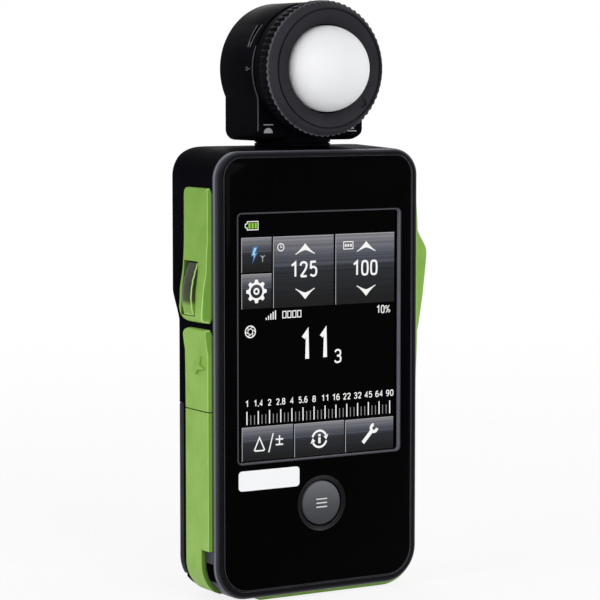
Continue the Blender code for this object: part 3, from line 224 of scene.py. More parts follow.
def turned(name, profile, axis="y", steps=96, centre=None, radius_at=None, angle=32):
    """A closed (radius, height) profile turned about an axis."""
    centre = centre or (0.0, HEAD_Z)
    rings = []
    for step in range(steps):
        turn = 2 * pi * step / steps
        ring = []
        for index, (radius, height) in enumerate(profile):
            if radius_at:
                radius = radius_at(index, turn)
            a = centre[0] + radius * cos(turn)
            b = centre[1] + radius * sin(turn)
            ring.append({"y": (a, height, b), "z": (a, b, height), "x": (height, a, b)}[axis])
        rings.append(ring)
    return loft(name, rings, True, angle)


def carve(target, tools, operation="DIFFERENCE", angle=32):
    """Cuts or joins the tools into the target and removes them."""
    for tool in tools:
        modifier = target.modifiers.new(tool.name, "BOOLEAN")
        modifier.operation = operation
        modifier.solver = "EXACT"
        modifier.object = tool
    made = target.evaluated_get(bpy.context.evaluated_depsgraph_get())
    mesh = bpy.data.meshes.new_from_object(made)
    target.modifiers.clear()
    target.data = mesh
    for tool in tools:
        bpy.data.objects.remove(tool)
    shade(target, angle)
    return target


def soften(obj, width, segments=2, angle=35):
    """Rounds the sharp edges that are left, as a moulding or a deburred edge has."""
    modifier = obj.modifiers.new("edge", "BEVEL")
    modifier.width = width * MM
    modifier.segments = segments
    modifier.limit_method = "ANGLE"
    modifier.angle_limit = radians(angle)
    modifier.harden_normals = True
    return obj


# Materials

LEVEL = "Specular IOR Level"


def srgb(code):
    """A colour written as it looks on a screen, such as 8DB459, as linear values and 1."""
    parts = [int(code[i : i + 2], 16) / 255 for i in (0, 2, 4)]
    return (*(c / 12.92 if c <= 0.04045 else ((c + 0.055) / 1.055) ** 2.4 for c in parts), 1.0)


def feed(tree, socket, value):
    """Sets a socket to a value, or links it to another node's output."""
    if isinstance(value, bpy.types.NodeSocket):
        tree.links.new(value, socket)
    else:
        socket.default_value = value


def add(tree, kind, inputs=None, **settings):
    """A new shader node, whose inputs are fed from a dictionary."""
    made = tree.nodes.new("ShaderNode" + kind)
    for key, value in settings.items():
        setattr(made, key, value)
    for key, value in (inputs or {}).items():
        feed(tree, made.inputs[key], value)
    return made


class Look:
    """A Principled material whose colour, roughness and relief come from procedural nodes."""

    def __init__(self, name, code, sockets):
        self.material = bpy.data.materials.new(name)
        self.material.use_nodes = True
        self.tree = self.material.node_tree
        self.sockets = self.tree.nodes["Principled BSDF"].inputs
        self.colour = srgb(code)
        for key, value in {"Base Color": self.colour, **sockets}.items():
            self.put(key, value)
        texture = add(self.tree, "TexCoord")
        self.coords = texture.outputs["Object"]
        self.normal = texture.outputs["Normal"]
        self.relief = None

    def put(self, key, value):
        feed(self.tree, self.sockets[key], value)
        return self

    def noise(self, scale, detail, stretch=(1, 1, 1)):
        mapping = add(self.tree, "Mapping", {"Vector": self.coords, "Scale": stretch})
        inputs = {"Vector": mapping.outputs["Vector"], "Scale": scale, "Detail": detail}
        return add(self.tree, "TexNoise", inputs).outputs["Fac"]

    def ramp(self, source, low, high):
        """The middle of a noise's range, spread from low to high."""
        inputs = {"Value": source, "From Min": 0.3, "From Max": 0.7, "To Min": low, "To Max": high}
        return add(self.tree, "MapRange", inputs).outputs["Result"]

    def stops(self, source, stops):
        """A colour ramp, with (position, colour) stops in rising order."""
        made = add(self.tree, "ValToRGB", {"Fac": source})
        elements = made.color_ramp.elements
        for position, _ in stops[1:-1]:
            elements.new(position)
        for element, (position, colour) in zip(elements, stops):
            element.position, element.color = position, colour
        return made.outputs["Color"]

    def mix(self, first, second, share):
        inputs = {"A": first, "B": second, "Factor": share}
        mixed = add(self.tree, "Mix", inputs, data_type="RGBA").outputs["Result"]
        return self.put("Base Color", mixed)

    def over(self, code, share):
        """Another colour over the one that is there, by a share that differs over the surface."""
        links = self.sockets["Base Color"].links
        return self.mix(links[0].from_socket if links else self.colour, srgb(code), share)

    def mottle(self, scale, amount):
        """Slight lighter and darker clouds in the base colour."""
        dark, light = (
            [min(c * share, 1.0) for c in self.colour[:3]] + [1.0]
            for share in (1 - amount, 1 + amount)
        )
        return self.mix(dark, light, self.ramp(self.noise(scale, 4.0), 0, 1))

    def clouded(self, code, scale, most, stretch=(1, 1, 1)):
        """Soft clouds of another colour."""
        return self.over(code, self.ramp(self.noise(scale, 4.0, stretch), 0.0, most))

    def painted_light_by_facing(self, code, *shares):
        """Another colour, whose share goes by how far a face is turned to the object's front: painted
        light, a highlight or shade set by which way a face turns.
        """
        depth = add(self.tree, "SeparateXYZ", {"Vector": self.normal}).outputs["Y"]
        front = add(self.tree, "Math", {0: depth, 1: -1.0}, operation="MULTIPLY").outputs[0]
        greys = [(at, (share, share, share, 1.0)) for at, share in shares]
        return self.over(code, self.stops(front, greys))

    def banded(self, low, high, *codes):
        """Colours that change with height on the object, from the first at low to the last."""
        z = add(self.tree, "SeparateXYZ", {"Vector": self.coords}).outputs["Z"]
        inputs = {"Value": z, "From Min": low * MM, "From Max": high * MM}
        height = add(self.tree, "MapRange", inputs).outputs["Result"]
        inputs = {0: self.noise(300, 3.0), 1: 0.08, 2: height}
        wander = add(self.tree, "Math", inputs, operation="MULTIPLY_ADD").outputs[0]
        return self.put("Base Color", self.stops(wander, [(at, srgb(code)) for at, code in codes]))

    def gloss(self, scale, low, high):
        """Roughness that wanders between two values."""
        return self.put("Roughness", self.ramp(self.noise(scale, 5.0), low, high))

    def grain(self, scale, depth, strength, cells=False):
        """Fine relief: the depth is in millimetres. Calls stack."""
        if cells:
            inputs = {"Vector": self.coords, "Scale": scale}
            source = add(self.tree, "TexVoronoi", inputs).outputs["Distance"]
        else:
            source = self.noise(scale, 2.0)
        inputs = {"Strength": strength, "Distance": depth * MM, "Height": source}
        if self.relief:
            inputs["Normal"] = self.relief
        self.relief = add(self.tree, "Bump", inputs).outputs["Normal"]
        return self.put("Normal", self.relief)


def glow(name, code):
    """A lit part of the display, under the same smooth glass as the dark part round it."""
    sockets = {LEVEL: 0.15, "Emission Color": srgb(code), "Emission Strength": 1.0}
    return Look(name, "000000", sockets).gloss(40, 0.096, 0.156)


def tile_look():
    """A display tile: grey at its top, near black at its foot, with fine lines across it."""
    sockets = {"Roughness": 0.12, LEVEL: 0.15, "Emission Strength": 1.0}
    look = Look("display_tile", "000000", sockets)
    uv = add(look.tree, "UVMap", uv_map="tile").outputs["UV"]
    up = add(look.tree, "SeparateXYZ", {"Vector": uv}).outputs["Y"]
    codes = "09090A 0F1012 191B1F 212429 262A31 43464E 4A4D56 64646C 7A7A80".split()
    places = (0.0, 0.12, 0.3, 0.5, 0.54, 0.6, 0.72, 0.82, 0.97)
    shade = look.stops(up, [(at, srgb(code)) for at, code in zip(places, codes)])
    inputs = {"W": up, "Scale": 26.0, "Detail": 2.0}
    lines = add(look.tree, "TexNoise", inputs, noise_dimensions="1D").outputs["Fac"]
    strength = look.ramp(lines, 0.7, 1.3)
    grey = add(look.tree, "CombineColor", {key: strength for key in ("Red", "Green", "Blue")})
    inputs = {"Factor": 1.0, "A": shade, "B": grey.outputs["Color"]}
    lined = add(look.tree, "Mix", inputs, data_type="RGBA", blend_type="MULTIPLY")
    return look.put("Emission Color", lined.outputs["Result"])


# Each finish: the material's name, its colour, its shader values, its mottle (scale, amount), its
# gloss (scale, smoothest, roughest) and each layer of its grain (scale, depth, strength, cells)
FINISHES = {
    "shell": (
        *("shell_moulding", "09090D", {LEVEL: 0.001}, (70, 0.3), (90, 0.38, 0.5)),
        *((5200, 0.02, 0.35), (2600, 0.02, 0.2, True)),
    ),
    "door": (
        *("door_moulding", "232328", {LEVEL: 0.04}, (70, 0.2), (90, 0.38, 0.5)),
        (5200, 0.02, 0.35),
    ),
    "head": (
        *("head_moulding", "0A0A0E", {LEVEL: 0.003}, (90, 0.3), (110, 0.32, 0.46)),
        (5600, 0.012, 0.3),
    ),
    # A lighter grey for thin strips on the panel's edge and the head's collar: painted highlights.
    "edge": ("painted_highlight_edge", "434349", {LEVEL: 0.08}, (120, 0.15), (150, 0.24, 0.36)),
    "ring": (
        *("ring_moulding", "2C2C31", {LEVEL: 0.05}, (160, 0.1), (140, 0.42, 0.56)),
        (6000, 0.015, 0.35),
    ),
    # A lighter grey for the ring's fluted crest: a painted highlight.
    "crest": ("painted_crest_highlight", "4C4C52", {LEVEL: 0.05}, (160, 0.2), (150, 0.3, 0.42)),
    "sleeve": ("blackened_metal", "18181B", {"Metallic": 0.6}, (220, 0.15), (220, 0.28, 0.42)),
    "flutes": (
        *("fluted_moulding", "0A0A0D", {LEVEL: 0.006}, (160, 0.2), (140, 0.32, 0.46)),
        (6000, 0.01, 0.3),
    ),
    "panel": ("gloss_panel", "020203", {LEVEL: 0.03, "IOR": 1.3}, (30, 0.3), (60, 0.04, 0.09)),
    "rim": (
        *("slate_rim", "3E3E46", {LEVEL: 0.06}, (120, 0.1), (150, 0.26, 0.38)),
        (7000, 0.006, 0.3),
    ),
    "dish": ("dish_moulding", "333336", {LEVEL: 0.1}, None, (100, 0.3, 0.4)),
    "trim": ("window_trim", "77777F", {LEVEL: 0.1}, (100, 0.06), (100, 0.34, 0.46)),
    "green": (
        *("green_grip", "8DB459", {LEVEL: 0.08}, (260, 0.045), (120, 0.34, 0.5)),
        *((4200, 0.025, 0.3), (300, 0.06, 0.08)),
    ),
    "left_green": (
        *("green_pad", "8DB459", {LEVEL: 0.08}, None, (120, 0.38, 0.52)),
        *((4200, 0.025, 0.3), (300, 0.06, 0.08)),
    ),
    "green_key": (
        *("green_key", "89B152", {LEVEL: 0.08}, (260, 0.05), (120, 0.34, 0.46)),
        (4200, 0.02, 0.3),
    ),
    # A light green for the bead and foot of the memory key: a painted highlight on its edges.
    "painted_highlight": ("painted_highlight_green", "B4D684", {LEVEL: 0.08}, (260, 0.05), (120, 0.38, 0.5)),
    "key": ("memory_key", "4B4B3F", {LEVEL: 0.025}, None, (160, 0.16, 0.26), (5000, 0.006, 0.2)),
    "button": ("menu_key", "424246", {LEVEL: 0.1}, None, (150, 0.36, 0.48), (6500, 0.01, 0.3)),
    "glass": ("display_glass", "010102", {LEVEL: 0.04, "IOR": 1.3}, (40, 0.2), (60, 0.04, 0.08)),
    "dome": (
        *("opal_dome", "F3F3F5", {LEVEL: 0.2}, (180, 0.012), (120, 0.4, 0.5)),
        (6000, 0.006, 0.25),
    ),
    "steel": (
        *("plated_steel", "A4A4A8", {"Metallic": 1.0}, (300, 0.06), (260, 0.22, 0.38)),
        (2500, 0.004, 0.3),
    ),
    "brass": ("turned_brass", "C8A765", {"Metallic": 1.0}, (300, 0.05), (220, 0.22, 0.36)),
    "board": ("solder_mask", "1D4A30", {}, (500, 0.15), (200, 0.3, 0.5)),
    "cell": ("cell_wrap", "4B5062", {}, (120, 0.1), (120, 0.24, 0.36)),
    "ivory": ("ivory_moulding", "D8D2BF", {}, (200, 0.05), (120, 0.42, 0.56)),
    "filter": ("blue_filter", "5C7F95", {}, (100, 0.05), (100, 0.05, 0.1)),
    "label": ("blank_label", "FAFBFC", {}, (150, 0.015), (120, 0.4, 0.5)),
    "ink": ("pad_print", "DCDCDE", {}, (900, 0.08), (300, 0.5, 0.6)),
    "grey_ink": ("grey_print", "9A9A9E", {}, (900, 0.08), (300, 0.5, 0.6)),
    # A mid grey for the side mark's print and for the rails in the side slot, where it is a painted
    # highlight.
    "dark_ink_and_highlight": ("dark_print_and_highlight", "5C5C62", {}, (900, 0.08), (300, 0.5, 0.6)),
}
GLOWS = {
    "white": "F6F6F4",
    "soft": "A8A8A8",
    "dim": "8C8C8C",
    "lime": "8CC63F",
    "blue": "3F77AE",
    "sky": "A9D4EE",
}


def make_looks():
    looks = {"tile": tile_look()}
    for key, code in GLOWS.items():
        looks[key] = glow("display_" + key, code)
    for key, (name, code, sockets, mottle, gloss, *grains) in FINISHES.items():
        look = looks[key] = Look(name, code, sockets).gloss(*gloss)
        if mottle:
            look.mottle(*mottle)
        for grain in grains:
            look.grain(*grain)
    dome = looks["dome"]
    dome.put("Subsurface Weight", 0.4).put("Subsurface Scale", 0.004)
    dome.put("Subsurface Radius", (1.0, 1.0, 1.0))
    # Painted light on the slate rim and strap guard: faces turned to the side get a light band, a
    # painted highlight on the rolled edge, and faces turned to the front are painted near black as
    # painted shade.
    looks["rim"].painted_light_by_facing("74767C", (0.1, 0), (0.27, 1), (0.38, 1), (0.55, 0))
    looks["rim"].painted_light_by_facing("0D0D10", (0.6, 0), (0.95, 1))
    # Painted shade: the window trim is painted darker where it faces the front, so only its side
    # walls keep the light grey.
    looks["trim"].painted_light_by_facing("414145", (0.5, 0), (0.85, 1))
    # The memory key's own colour is the dark olive; the green at its foot is a painted reflection of
    # the green rubber beside it.
    key = ((0.0, "86B04C"), (0.22, "7FA648"), (0.32, "434A30"), (0.6, "393D2E"), (1.0, "43463A"))
    looks["key"].banded(MEMORY_LOW, MEMORY_HIGH, *key)
    # Painted light: the menu key's face is painted lighter towards its top and darker at its foot.
    looks["button"].banded(16.9, 27.4, (0.0, "3A3A3E"), (0.45, "4A4B4E"), (1.0, "6A6B6E"))
    # Painted light and shade in the dish round the menu key: a light crescent painted at its foot,
    # near black across its middle and a lighter band at its top.
    dish = ((0.0, "505050"), (0.07, "2C2C2E"), (0.16, "09090B"), (0.8, "0A0A0C"), (0.93, "1C1C1E"))
    looks["dish"].banded(MENU_Z - 6.7, MENU_Z + 6.7, *dish, (1.0, "262628"))
    # Painted shade: the left pads are painted mostly darker towards the top of the body; the clouds
    # after it are the rubber's own uneven tone.
    pad = ((0.0, "9DC466"), (0.3, "91B959"), (0.52, "8BB253"), (0.7, "90B857"), (0.79, "7FA748"))
    green = looks["left_green"].banded(2.0, 97.0, *pad, (1.0, "739C3D"))
    green.clouded("6E9A36", 260, 0.42, (1, 1, 0.6)).clouded("A3CC6C", 150, 0.3)
    # Painted shade: the front slopes of the pads are painted a darker green.
    green.painted_light_by_facing("658C38", (0.4, 0), (0.6, 1))
    # Painted highlight: a light line painted where a pad's side turns into its front slope.
    green.painted_light_by_facing("C2E592", (0.16, 0), (0.26, 0.8), (0.36, 0.8), (0.46, 0))
    return looks


# The body's outline and the strips that follow it


def body_outline(inset, steps=20):
    low, high = CORNER_LOW - inset, CORNER_HIGH - inset
    half = BODY_HALF - inset
    return rounded(-half, half, BODY_LOW + inset, BODY_HIGH - inset, low, high, steps)


def half_width(z, inset=0.0):
    low = BODY_LOW + CORNER_LOW - z
    high = z - BODY_HIGH + CORNER_HIGH
    for reach, corner in ((low, CORNER_LOW - inset), (high, CORNER_HIGH - inset)):
        if reach > 0:
            return BODY_HALF - inset - corner + sqrt(max(corner**2 - reach**2, 0.0))
    return BODY_HALF - inset


def shell_depth(z):
    share = min(max((z - SLOPE_LOW) / (SLOPE_HIGH - SLOPE_LOW), 0.0), 1.0)
    share = share * share * (3 - 2 * share) * 0.35 + share * 0.65
    depth = LOWER_DEPTH + share * (UPPER_DEPTH - LOWER_DEPTH)
    for reach in (BODY_LOW + REAR_EDGE - z, z - BODY_HIGH + REAR_EDGE):
        if reach > 0:
            depth -= REAR_EDGE - sqrt(max(REAR_EDGE**2 - reach**2, 0.0))
    return depth


def shell_heights(low, high, steps=14):
    found = {low, high}
    for i in range(steps + 1):
        rise = 1 - cos(pi / 2 * i / steps)
        found.add(BODY_LOW + CORNER_LOW * rise)
        found.add(BODY_HIGH - CORNER_HIGH * rise)
        found.add(BODY_LOW + REAR_EDGE * rise)
        found.add(BODY_HIGH - REAR_EDGE * rise)
        found.add(SLOPE_LOW + (SLOPE_HIGH - SLOPE_LOW) * i / steps)
    kept = []
    for z in sorted(z for z in found if low <= z <= high):
        if not kept or z - kept[-1] > 0.05:
            kept.append(z)
    kept[-1] = high
    return kept


def edge_station(side, travel):
    start = BODY_LOW + CORNER_LOW
    if travel >= start:
        return side * BODY_HALF, travel, side, 0.0
    past = start - travel
    quarter = CORNER_LOW * pi / 2
    centre = (BODY_HALF - CORNER_LOW, BODY_LOW + CORNER_LOW)
    if past <= quarter:
        turn = past / CORNER_LOW
        x = centre[0] + CORNER_LOW * cos(turn)
        return side * x, centre[1] - CORNER_LOW * sin(turn), side * cos(turn), -sin(turn)
    return side * (centre[0] - past + quarter), BODY_LOW, 0.0, -1.0


def travel_to(x):
    past_centre = x - BODY_HALF + CORNER_LOW
    start = BODY_LOW + CORNER_LOW
    if past_centre > 0:
        return start - CORNER_LOW * acos(past_centre / CORNER_LOW)
    return start - CORNER_LOW * pi / 2 + past_centre


def blend(points, at):
    """The value at a place among (place, value) pairs in rising order, eased between them."""
    if at <= points[0][0]:
        return points[0][1]
    for (a, before), (b, after) in zip(points, points[1:]):
        if at <= b:
            t = (at - a) / (b - a)
            return before + (after - before) * t * t * (3 - 2 * t)
    return points[-1][1]


def round_end(gap, reach, rise):
    """How far an outline has drawn in at a distance from its end, on an elliptical corner."""
    if gap >= reach:
        return 0.0
    return rise * (1 - sqrt(max(1 - (1 - gap / reach) ** 2, 0.0)))


def spread(high, low, step=0.4):
    """Places from high down to low, closer together at both ends."""
    near = [0.0, 0.03, 0.08, 0.16, 0.28, 0.44, 0.66, 0.95, 1.3, 1.7, 2.2, 2.8]
    places = [high - n for n in near]
    middle = int((high - low - 5.6) / step)
    places += [high - 2.8 - (high - low - 5.6) * i / middle for i in range(1, middle)]
    return places + [low + n for n in reversed(near)]


def across(side, travel, section):
    """The points of a section across the body's edge, at a travel along it."""
    x, z, normal_x, normal_z = edge_station(side, travel)
    return [(x + out * normal_x, depth, z + out * normal_z) for out, depth in section]


def strip(name, side, stations):
    """A soft pad along the outline: (travel, proud, front, back, lip) at each station."""
    rings = []
    for travel, proud, front, back, lip in stations:
        width = back - front
        lip = min(lip, width / 3)
        corner = min(0.45, 0.5 * proud + 0.02, width / 4)
        section = [(-PAD_ROOT, front), (0.2 * proud, front)]
        for k in range(1, 5):
            t = k / 4
            section.append((0.2 * proud + 0.7 * proud * t, front + 0.82 * lip * t))
        for k in range(1, 5):
            t = k / 4
            section.append((proud * (0.9 + 0.1 * sin(t * pi / 2)), front + lip * (0.82 + 0.3 * t)))
        for k in range(1, 6):
            t = k / 6
            crown = 0.05 * proud * sin(pi * t)
            section.append((proud + crown, front + 1.12 * lip + (width - corner - 1.12 * lip) * t))
        for k in range(0, 5):
            t = radians(90 * k / 4)
            section.append((proud - corner * (1 - cos(t)), back - corner + corner * sin(t)))
        section.append((-PAD_ROOT, back))
        rings.append(across(side, travel, section))
    return loft(name, rings, angle=40)


def pocket(name, side, stations):
    """The hollow that a pad lies in, a little larger than the pad all round."""
    rings = []
    last = len(stations) - 1
    for index, (travel, _, front, back, _) in enumerate(stations):
        travel += POCKET_ROOM if index == 0 else -POCKET_ROOM if index == last else 0.0
        front, back = front - POCKET_ROOM, back + POCKET_ROOM
        section = [(-0.6, front), (4.0, front), (4.0, back), (-0.6, back)]
        rings.append(across(side, travel, section))
    return loft(name, rings)


def pad_stations(places, swell, back, lips, top=None, foot=None):
    """Stations with rounded ends. An end is (front reach, front rise, back reach, back rise)."""
    high, low = places[0], places[-1]
    stations = []
    for at in places:
        front, rear, rise = GRIP_FRONT, blend(back, at), blend(swell, at)
        for gap, end in ((high - at, top), (at - low, foot)):
            if end:
                front += round_end(gap, end[0], end[1])
                rear -= round_end(gap, end[2], end[3])
                rise *= 0.06 + 0.94 * sqrt(max(1 - max(1 - gap / 0.8, 0.0) ** 2, 0.0))
        stations.append((at, rise, front, rear, blend(lips, at)))
    return stations


def upper_grip_stations():
    high, low = UPPER_GRIP
    swell = ((low, 1.55), (low + 2, 1.75), (low + 6, 1.6), (low + 13, 0.95))
    swell += ((low + 20, 0.72), (high, 0.7))
    bulge = ((low, GRIP_BACK + 0.7), (low + 8, GRIP_BACK + 0.6), (low + 16, GRIP_BACK))
    lips = ((low, 2.0), (low + 4, 1.8), (low + 8, 1.35), (low + 13, 0.9), (high, 0.75))
    top, foot = (1.8, 1.4, 1.8, 1.4), (1.8, 1.6, 3.4, 5.2)
    return pad_stations(spread(high, low), swell, bulge, lips, top, foot)


def flap_stations():
    high, low = SYNC_FLAP
    places = [at for at in spread(high, low) if at - low > 0.3 or at == low]
    swell = ((low, 0.7), (high - 6.0, 0.7), (high - 3.2, 1.05), (high - 1.4, 1.25), (high, 1.2))
    back = ((low, GRIP_BACK - 0.5), (high - 5.0, GRIP_BACK - 0.3), (high, GRIP_BACK))
    return pad_stations(places, swell, back, ((low, 0.85),), (1.8, 1.5, 2.4, 2.6))


def corner_travels(side_end, count=24):
    start = BODY_LOW + CORNER_LOW
    end = travel_to(side_end)
    found = [start - CORNER_LOW * pi / 2 * i / count for i in range(count + 1)]
    return [travel for travel in found if travel > end + 0.3] + [end]


def lower_grip_stations():
    places = [LOWER_GRIP_TOP - 0.5 * i for i in range(71)] + corner_travels(LEFT_PAD_END)
    end = places[-1]
    swell = ((end, 0.25), (end + 2.0, 0.62), (end + 6.0, 0.7))
    return pad_stations(places, swell, ((end, GRIP_BACK - 0.5),), ((end, 0.75),))


def right_grip_stations():
    high, low, proud, lip = RIGHT_GRIP_TOP, BODY_LOW + CORNER_LOW, RIGHT_PROUD, 0.7
    swell = ((low, proud), (48.0, proud), (60.6, 1.5), (86.0, 1.5), (93.5, proud), (high, 1.0))
    upper = [at for at in spread(high, low) if at > low + 1.5]
    stations = pad_stations(upper, swell, ((low, GRIP_BACK),), ((low, lip),), (1.6, 1.3, 1.8, 1.4))
    for travel in corner_travels(RIGHT_PAD_END):
        share = min(max((low - travel) / (CORNER_LOW * pi / 2), 0.0), 1.0)
        rise = proud + share * (BODY_LOW - proud)
        stations.append((travel, rise, GRIP_FRONT, GRIP_BACK + share * 0.9, lip))
    end = travel_to(RIGHT_PAD_END)
    stations[-1] = (end + 1.2, BODY_LOW, GRIP_FRONT, GRIP_BACK + 0.9, lip)
    stations.append((end, 0.5, GRIP_FRONT + 0.8, GRIP_BACK + 0.1, lip))
    return stations


# Body pieces


def at_depth(depth, outline):
    return [(x, depth, z) for x, z in outline]


def at_height(z, outline):
    return [(x, depth, z) for x, depth in outline]


def window_outline(margin, corner=WINDOW_CORNER):
    low, high = WINDOW_LOW - margin, WINDOW_HIGH + margin
    return rounded(WINDOW_LEFT - margin, WINDOW_RIGHT + margin, low, high, corner, corner, 6)


def front_ring(inset, depth):
    """The body's outline on the front, where the rim is narrower along the top than at the sides."""
    ring = []
    for x, z in body_outline(inset, 28):
        share = min(max((z - RIM_TAPER_LOW) / (BODY_HIGH - inset - RIM_TAPER_LOW), 0.0), 1.0)
        ring.append((x, depth, z + share * (0.3 * inset - 0.35)))
    return ring


def make_front():
    roll = arc((1.5, 1.62), -1.5, 0, 90, 15, -1.56)
    profile = [(0.12, 1.75), *roll, (1.72, 0.04), *arc((1.72, 0.2), 0.16, -60, 0, 2)]
    profile += [(1.9, 1.0), (3.0, 1.0), (3.0, 1.75)]
    rim = loft("bezel", [front_ring(*spot) for spot in profile], True, 40)
    ledge = box("ledge", (-25.3, 25.3), (1.02, 1.5), (3.5, 103.2))
    window = prism("ledge_window", window_outline(0.35), 0.0, 5.0)
    carve(ledge, [window, rod("ledge_hole", (0, MENU_Z), 5.5, -1, 5)])
    carve(rim, [ledge], "UNION", 40)
    carve(rim, [box("notch", (-40.0, -14.9), (1.7, 8.0), (-5.0, 13.7))], angle=40)
    dress(rim, "rim", "body", "slate_plastic", "front_frame")

    edge = PANEL_INSET
    face = ((edge, 0.75), (edge, 0.16), (edge + 0.04, 0.08), (edge + 0.12, PANEL_FACE))
    panel = loft("front_glass", [front_ring(*spot) for spot in face])
    hole = rod("dish_hole", (MENU_X, MENU_Z), DISH_RADIUS, -1.0, 3.0, "y", 96)
    carve(panel, [prism("panel_window", window_outline(0.0), -1.0, 3.0), hole])
    dish = [(5.45, 0.72), (5.48, 0.6), *arc((6.4, 0.62), -0.92, 0, 90, 6, -0.5)]
    dish += [(6.48, 0.04), (6.53, 0.01), (6.59, 0.04), (6.59, 0.72)]
    hollow = turned("menu_dish", dish, "y", 96, (MENU_X, MENU_Z), angle=50)
    dress(hollow, "dish", "body", "gloss_black")
    dress(panel, "panel", "body", "gloss_black", "front_panel")

    # The thin lip round the panel is a light strip: a painted highlight along the panel's edge.
    lip = ((0, 0.3), (0, 0.12), (0.03, 0.06), (0.1, 0.03), (0.14, 0.045), (0.14, 0.3))
    rings = [front_ring(edge + inset, depth) for inset, depth in lip]
    dress(loft("panel_edge", rings, True), "edge", "body", "gloss_black")

    line = ((0.3, 0.3), (0.3, 0.03), (0.22, -0.02), (0.05, -0.03), (-0.02, 0.03), (-0.04, 0.12))
    rings = [
        at_depth(depth, window_outline(margin, WINDOW_CORNER + margin))
        for margin, depth in (*line, (-0.06, 1.3), (0.1, 1.3))
    ]
    dress(loft("window_trim", rings, True, 50), "trim", "body", "gloss_black")

    places = [12.7 - 0.35 * i for i in range(10)] + corner_travels(22.6)
    section = [(-1.4, 1.0), (-0.15, 1.0), (-0.1, 1.95), (-0.1, 5.5), (-0.3, 5.75), (-1.4, 5.75)]
    guard = loft("strap_guard", [across(-1, travel, section) for travel in places], angle=40)
    carve(guard, [box("guard_hole", (-31.0, -24.0), (1.5, 5.15), (5.4, 9.9))], angle=40)
    dress(guard, "rim", "body", "slate_plastic")


def flat(name, outlines, depth, uv=False):
    """Thin flat shapes facing the front, all in one piece. Each outline is a list of (x, z)."""
    mesh = bpy.data.meshes.new(name)
    points, faces, spans = [], [], []
    for outline in outlines:
        start = len(points)
        points += [place(x, depth, z) for x, z in outline]
        faces.append(tuple(range(start, len(points))))
        xs, zs = [p[0] for p in outline], [p[1] for p in outline]
        left, low, width, height = min(xs), min(zs), max(xs) - min(xs), max(zs) - min(zs)
        spans += [((x - left) / width, (z - low) / height) for x, z in outline]
    mesh.from_pydata(points, [], faces)
    if uv:
        layer = mesh.uv_layers.new(name="tile")
        for loop in mesh.loops:
            layer.data[loop.index].uv = spans[loop.vertex_index]
    work = bmesh.new()
    work.from_mesh(mesh)
    for face in work.faces:
        face.normal_update()
        if face.normal.y > 0:
            face.normal_flip()
    bmesh.ops.triangulate(work, faces=work.faces, ngon_method="EAR_CLIP")
    work.to_mesh(mesh)
    work.free()
    obj = present(name, mesh)
    return obj


DIGITS = {
    "0": [
        ("loop", [(0.0, 0.68), (0.0, 0.32), (0.12, 0.06), (0.5, 0.0), (0.88, 0.06),
            (1.0, 0.32), (1.0, 0.68), (0.88, 0.94), (0.5, 1.0), (0.12, 0.94)]),
    ],
    "1": [
        ("line", [(0.12, 0.78), (0.72, 1.0), (0.72, 0.0)]),
    ],
    "2": [
        ("soft", [(0.0, 0.76), (0.1, 0.93), (0.5, 1.0), (0.9, 0.92), (0.97, 0.72),
            (0.78, 0.48), (0.36, 0.2), (0.02, 0.0)]),
        ("line", [(0.02, 0.0), (1.0, 0.0)]),
    ],
    "3": [
        ("soft", [(0.03, 0.84), (0.22, 0.97), (0.55, 1.0), (0.9, 0.9), (0.93, 0.68),
            (0.72, 0.55), (0.36, 0.53)]),
        ("soft", [(0.36, 0.53), (0.8, 0.49), (1.0, 0.3), (0.9, 0.08), (0.5, 0.0), (0.16, 0.04),
            (0.0, 0.17)]),
    ],
    "4": [
        ("line", [(0.76, 0.0), (0.76, 1.0), (0.0, 0.28), (1.0, 0.28)]),
    ],
    "5": [
        ("line", [(0.93, 1.0), (0.14, 1.0), (0.06, 0.52)]),
        ("soft", [(0.06, 0.52), (0.3, 0.62), (0.66, 0.62), (0.95, 0.5), (1.0, 0.28),
            (0.86, 0.07), (0.45, 0.0), (0.0, 0.1)]),
    ],
    "6": [
        ("soft", [(0.9, 0.93), (0.55, 1.0), (0.2, 0.88), (0.02, 0.6), (0.0, 0.33)]),
        ("loop", [(0.0, 0.33), (0.1, 0.08), (0.5, 0.0), (0.9, 0.08), (1.0, 0.31), (0.9, 0.54),
            (0.5, 0.61), (0.12, 0.52)]),
    ],
    "8": [
        ("loop", [(0.5, 0.54), (0.12, 0.62), (0.06, 0.8), (0.2, 0.95), (0.5, 1.0), (0.8, 0.95),
            (0.94, 0.8), (0.88, 0.62)]),
        ("loop", [(0.5, 0.54), (0.12, 0.45), (0.0, 0.27), (0.12, 0.06), (0.5, 0.0),
            (0.88, 0.06), (1.0, 0.27), (0.88, 0.45)]),
    ],
    "9": [
        ("soft", [(0.1, 0.07), (0.45, 0.0), (0.8, 0.12), (0.98, 0.4), (1.0, 0.67)]),
        ("loop", [(1.0, 0.67), (0.9, 0.92), (0.5, 1.0), (0.1, 0.92), (0.0, 0.69), (0.1, 0.46),
            (0.5, 0.39), (0.88, 0.48)]),
    ],
}


def eased(points, closed, steps=5):
    """More points between the given ones, on a smooth curve through them."""
    count = len(points)
    made = []
    for i in range(count if closed else count - 1):
        if closed:
            a, b, c, d = (points[(i + k) % count] for k in (-1, 0, 1, 2))
        else:
            a, b, c, d = (points[min(max(i + k, 0), count - 1)] for k in (-1, 0, 1, 2))
        for k in range(steps):
            t = k / steps
            spot = []
            for p, q, r, u in zip(a, b, c, d):
                bend, twist = 2 * p - 5 * q + 4 * r - u, 3 * q - p - 3 * r + u
                spot.append(0.5 * (2 * q + (r - p) * t + bend * t**2 + twist * t**3))
            made.append(tuple(spot))
    if not closed:
        made.append(points[-1])
    return made


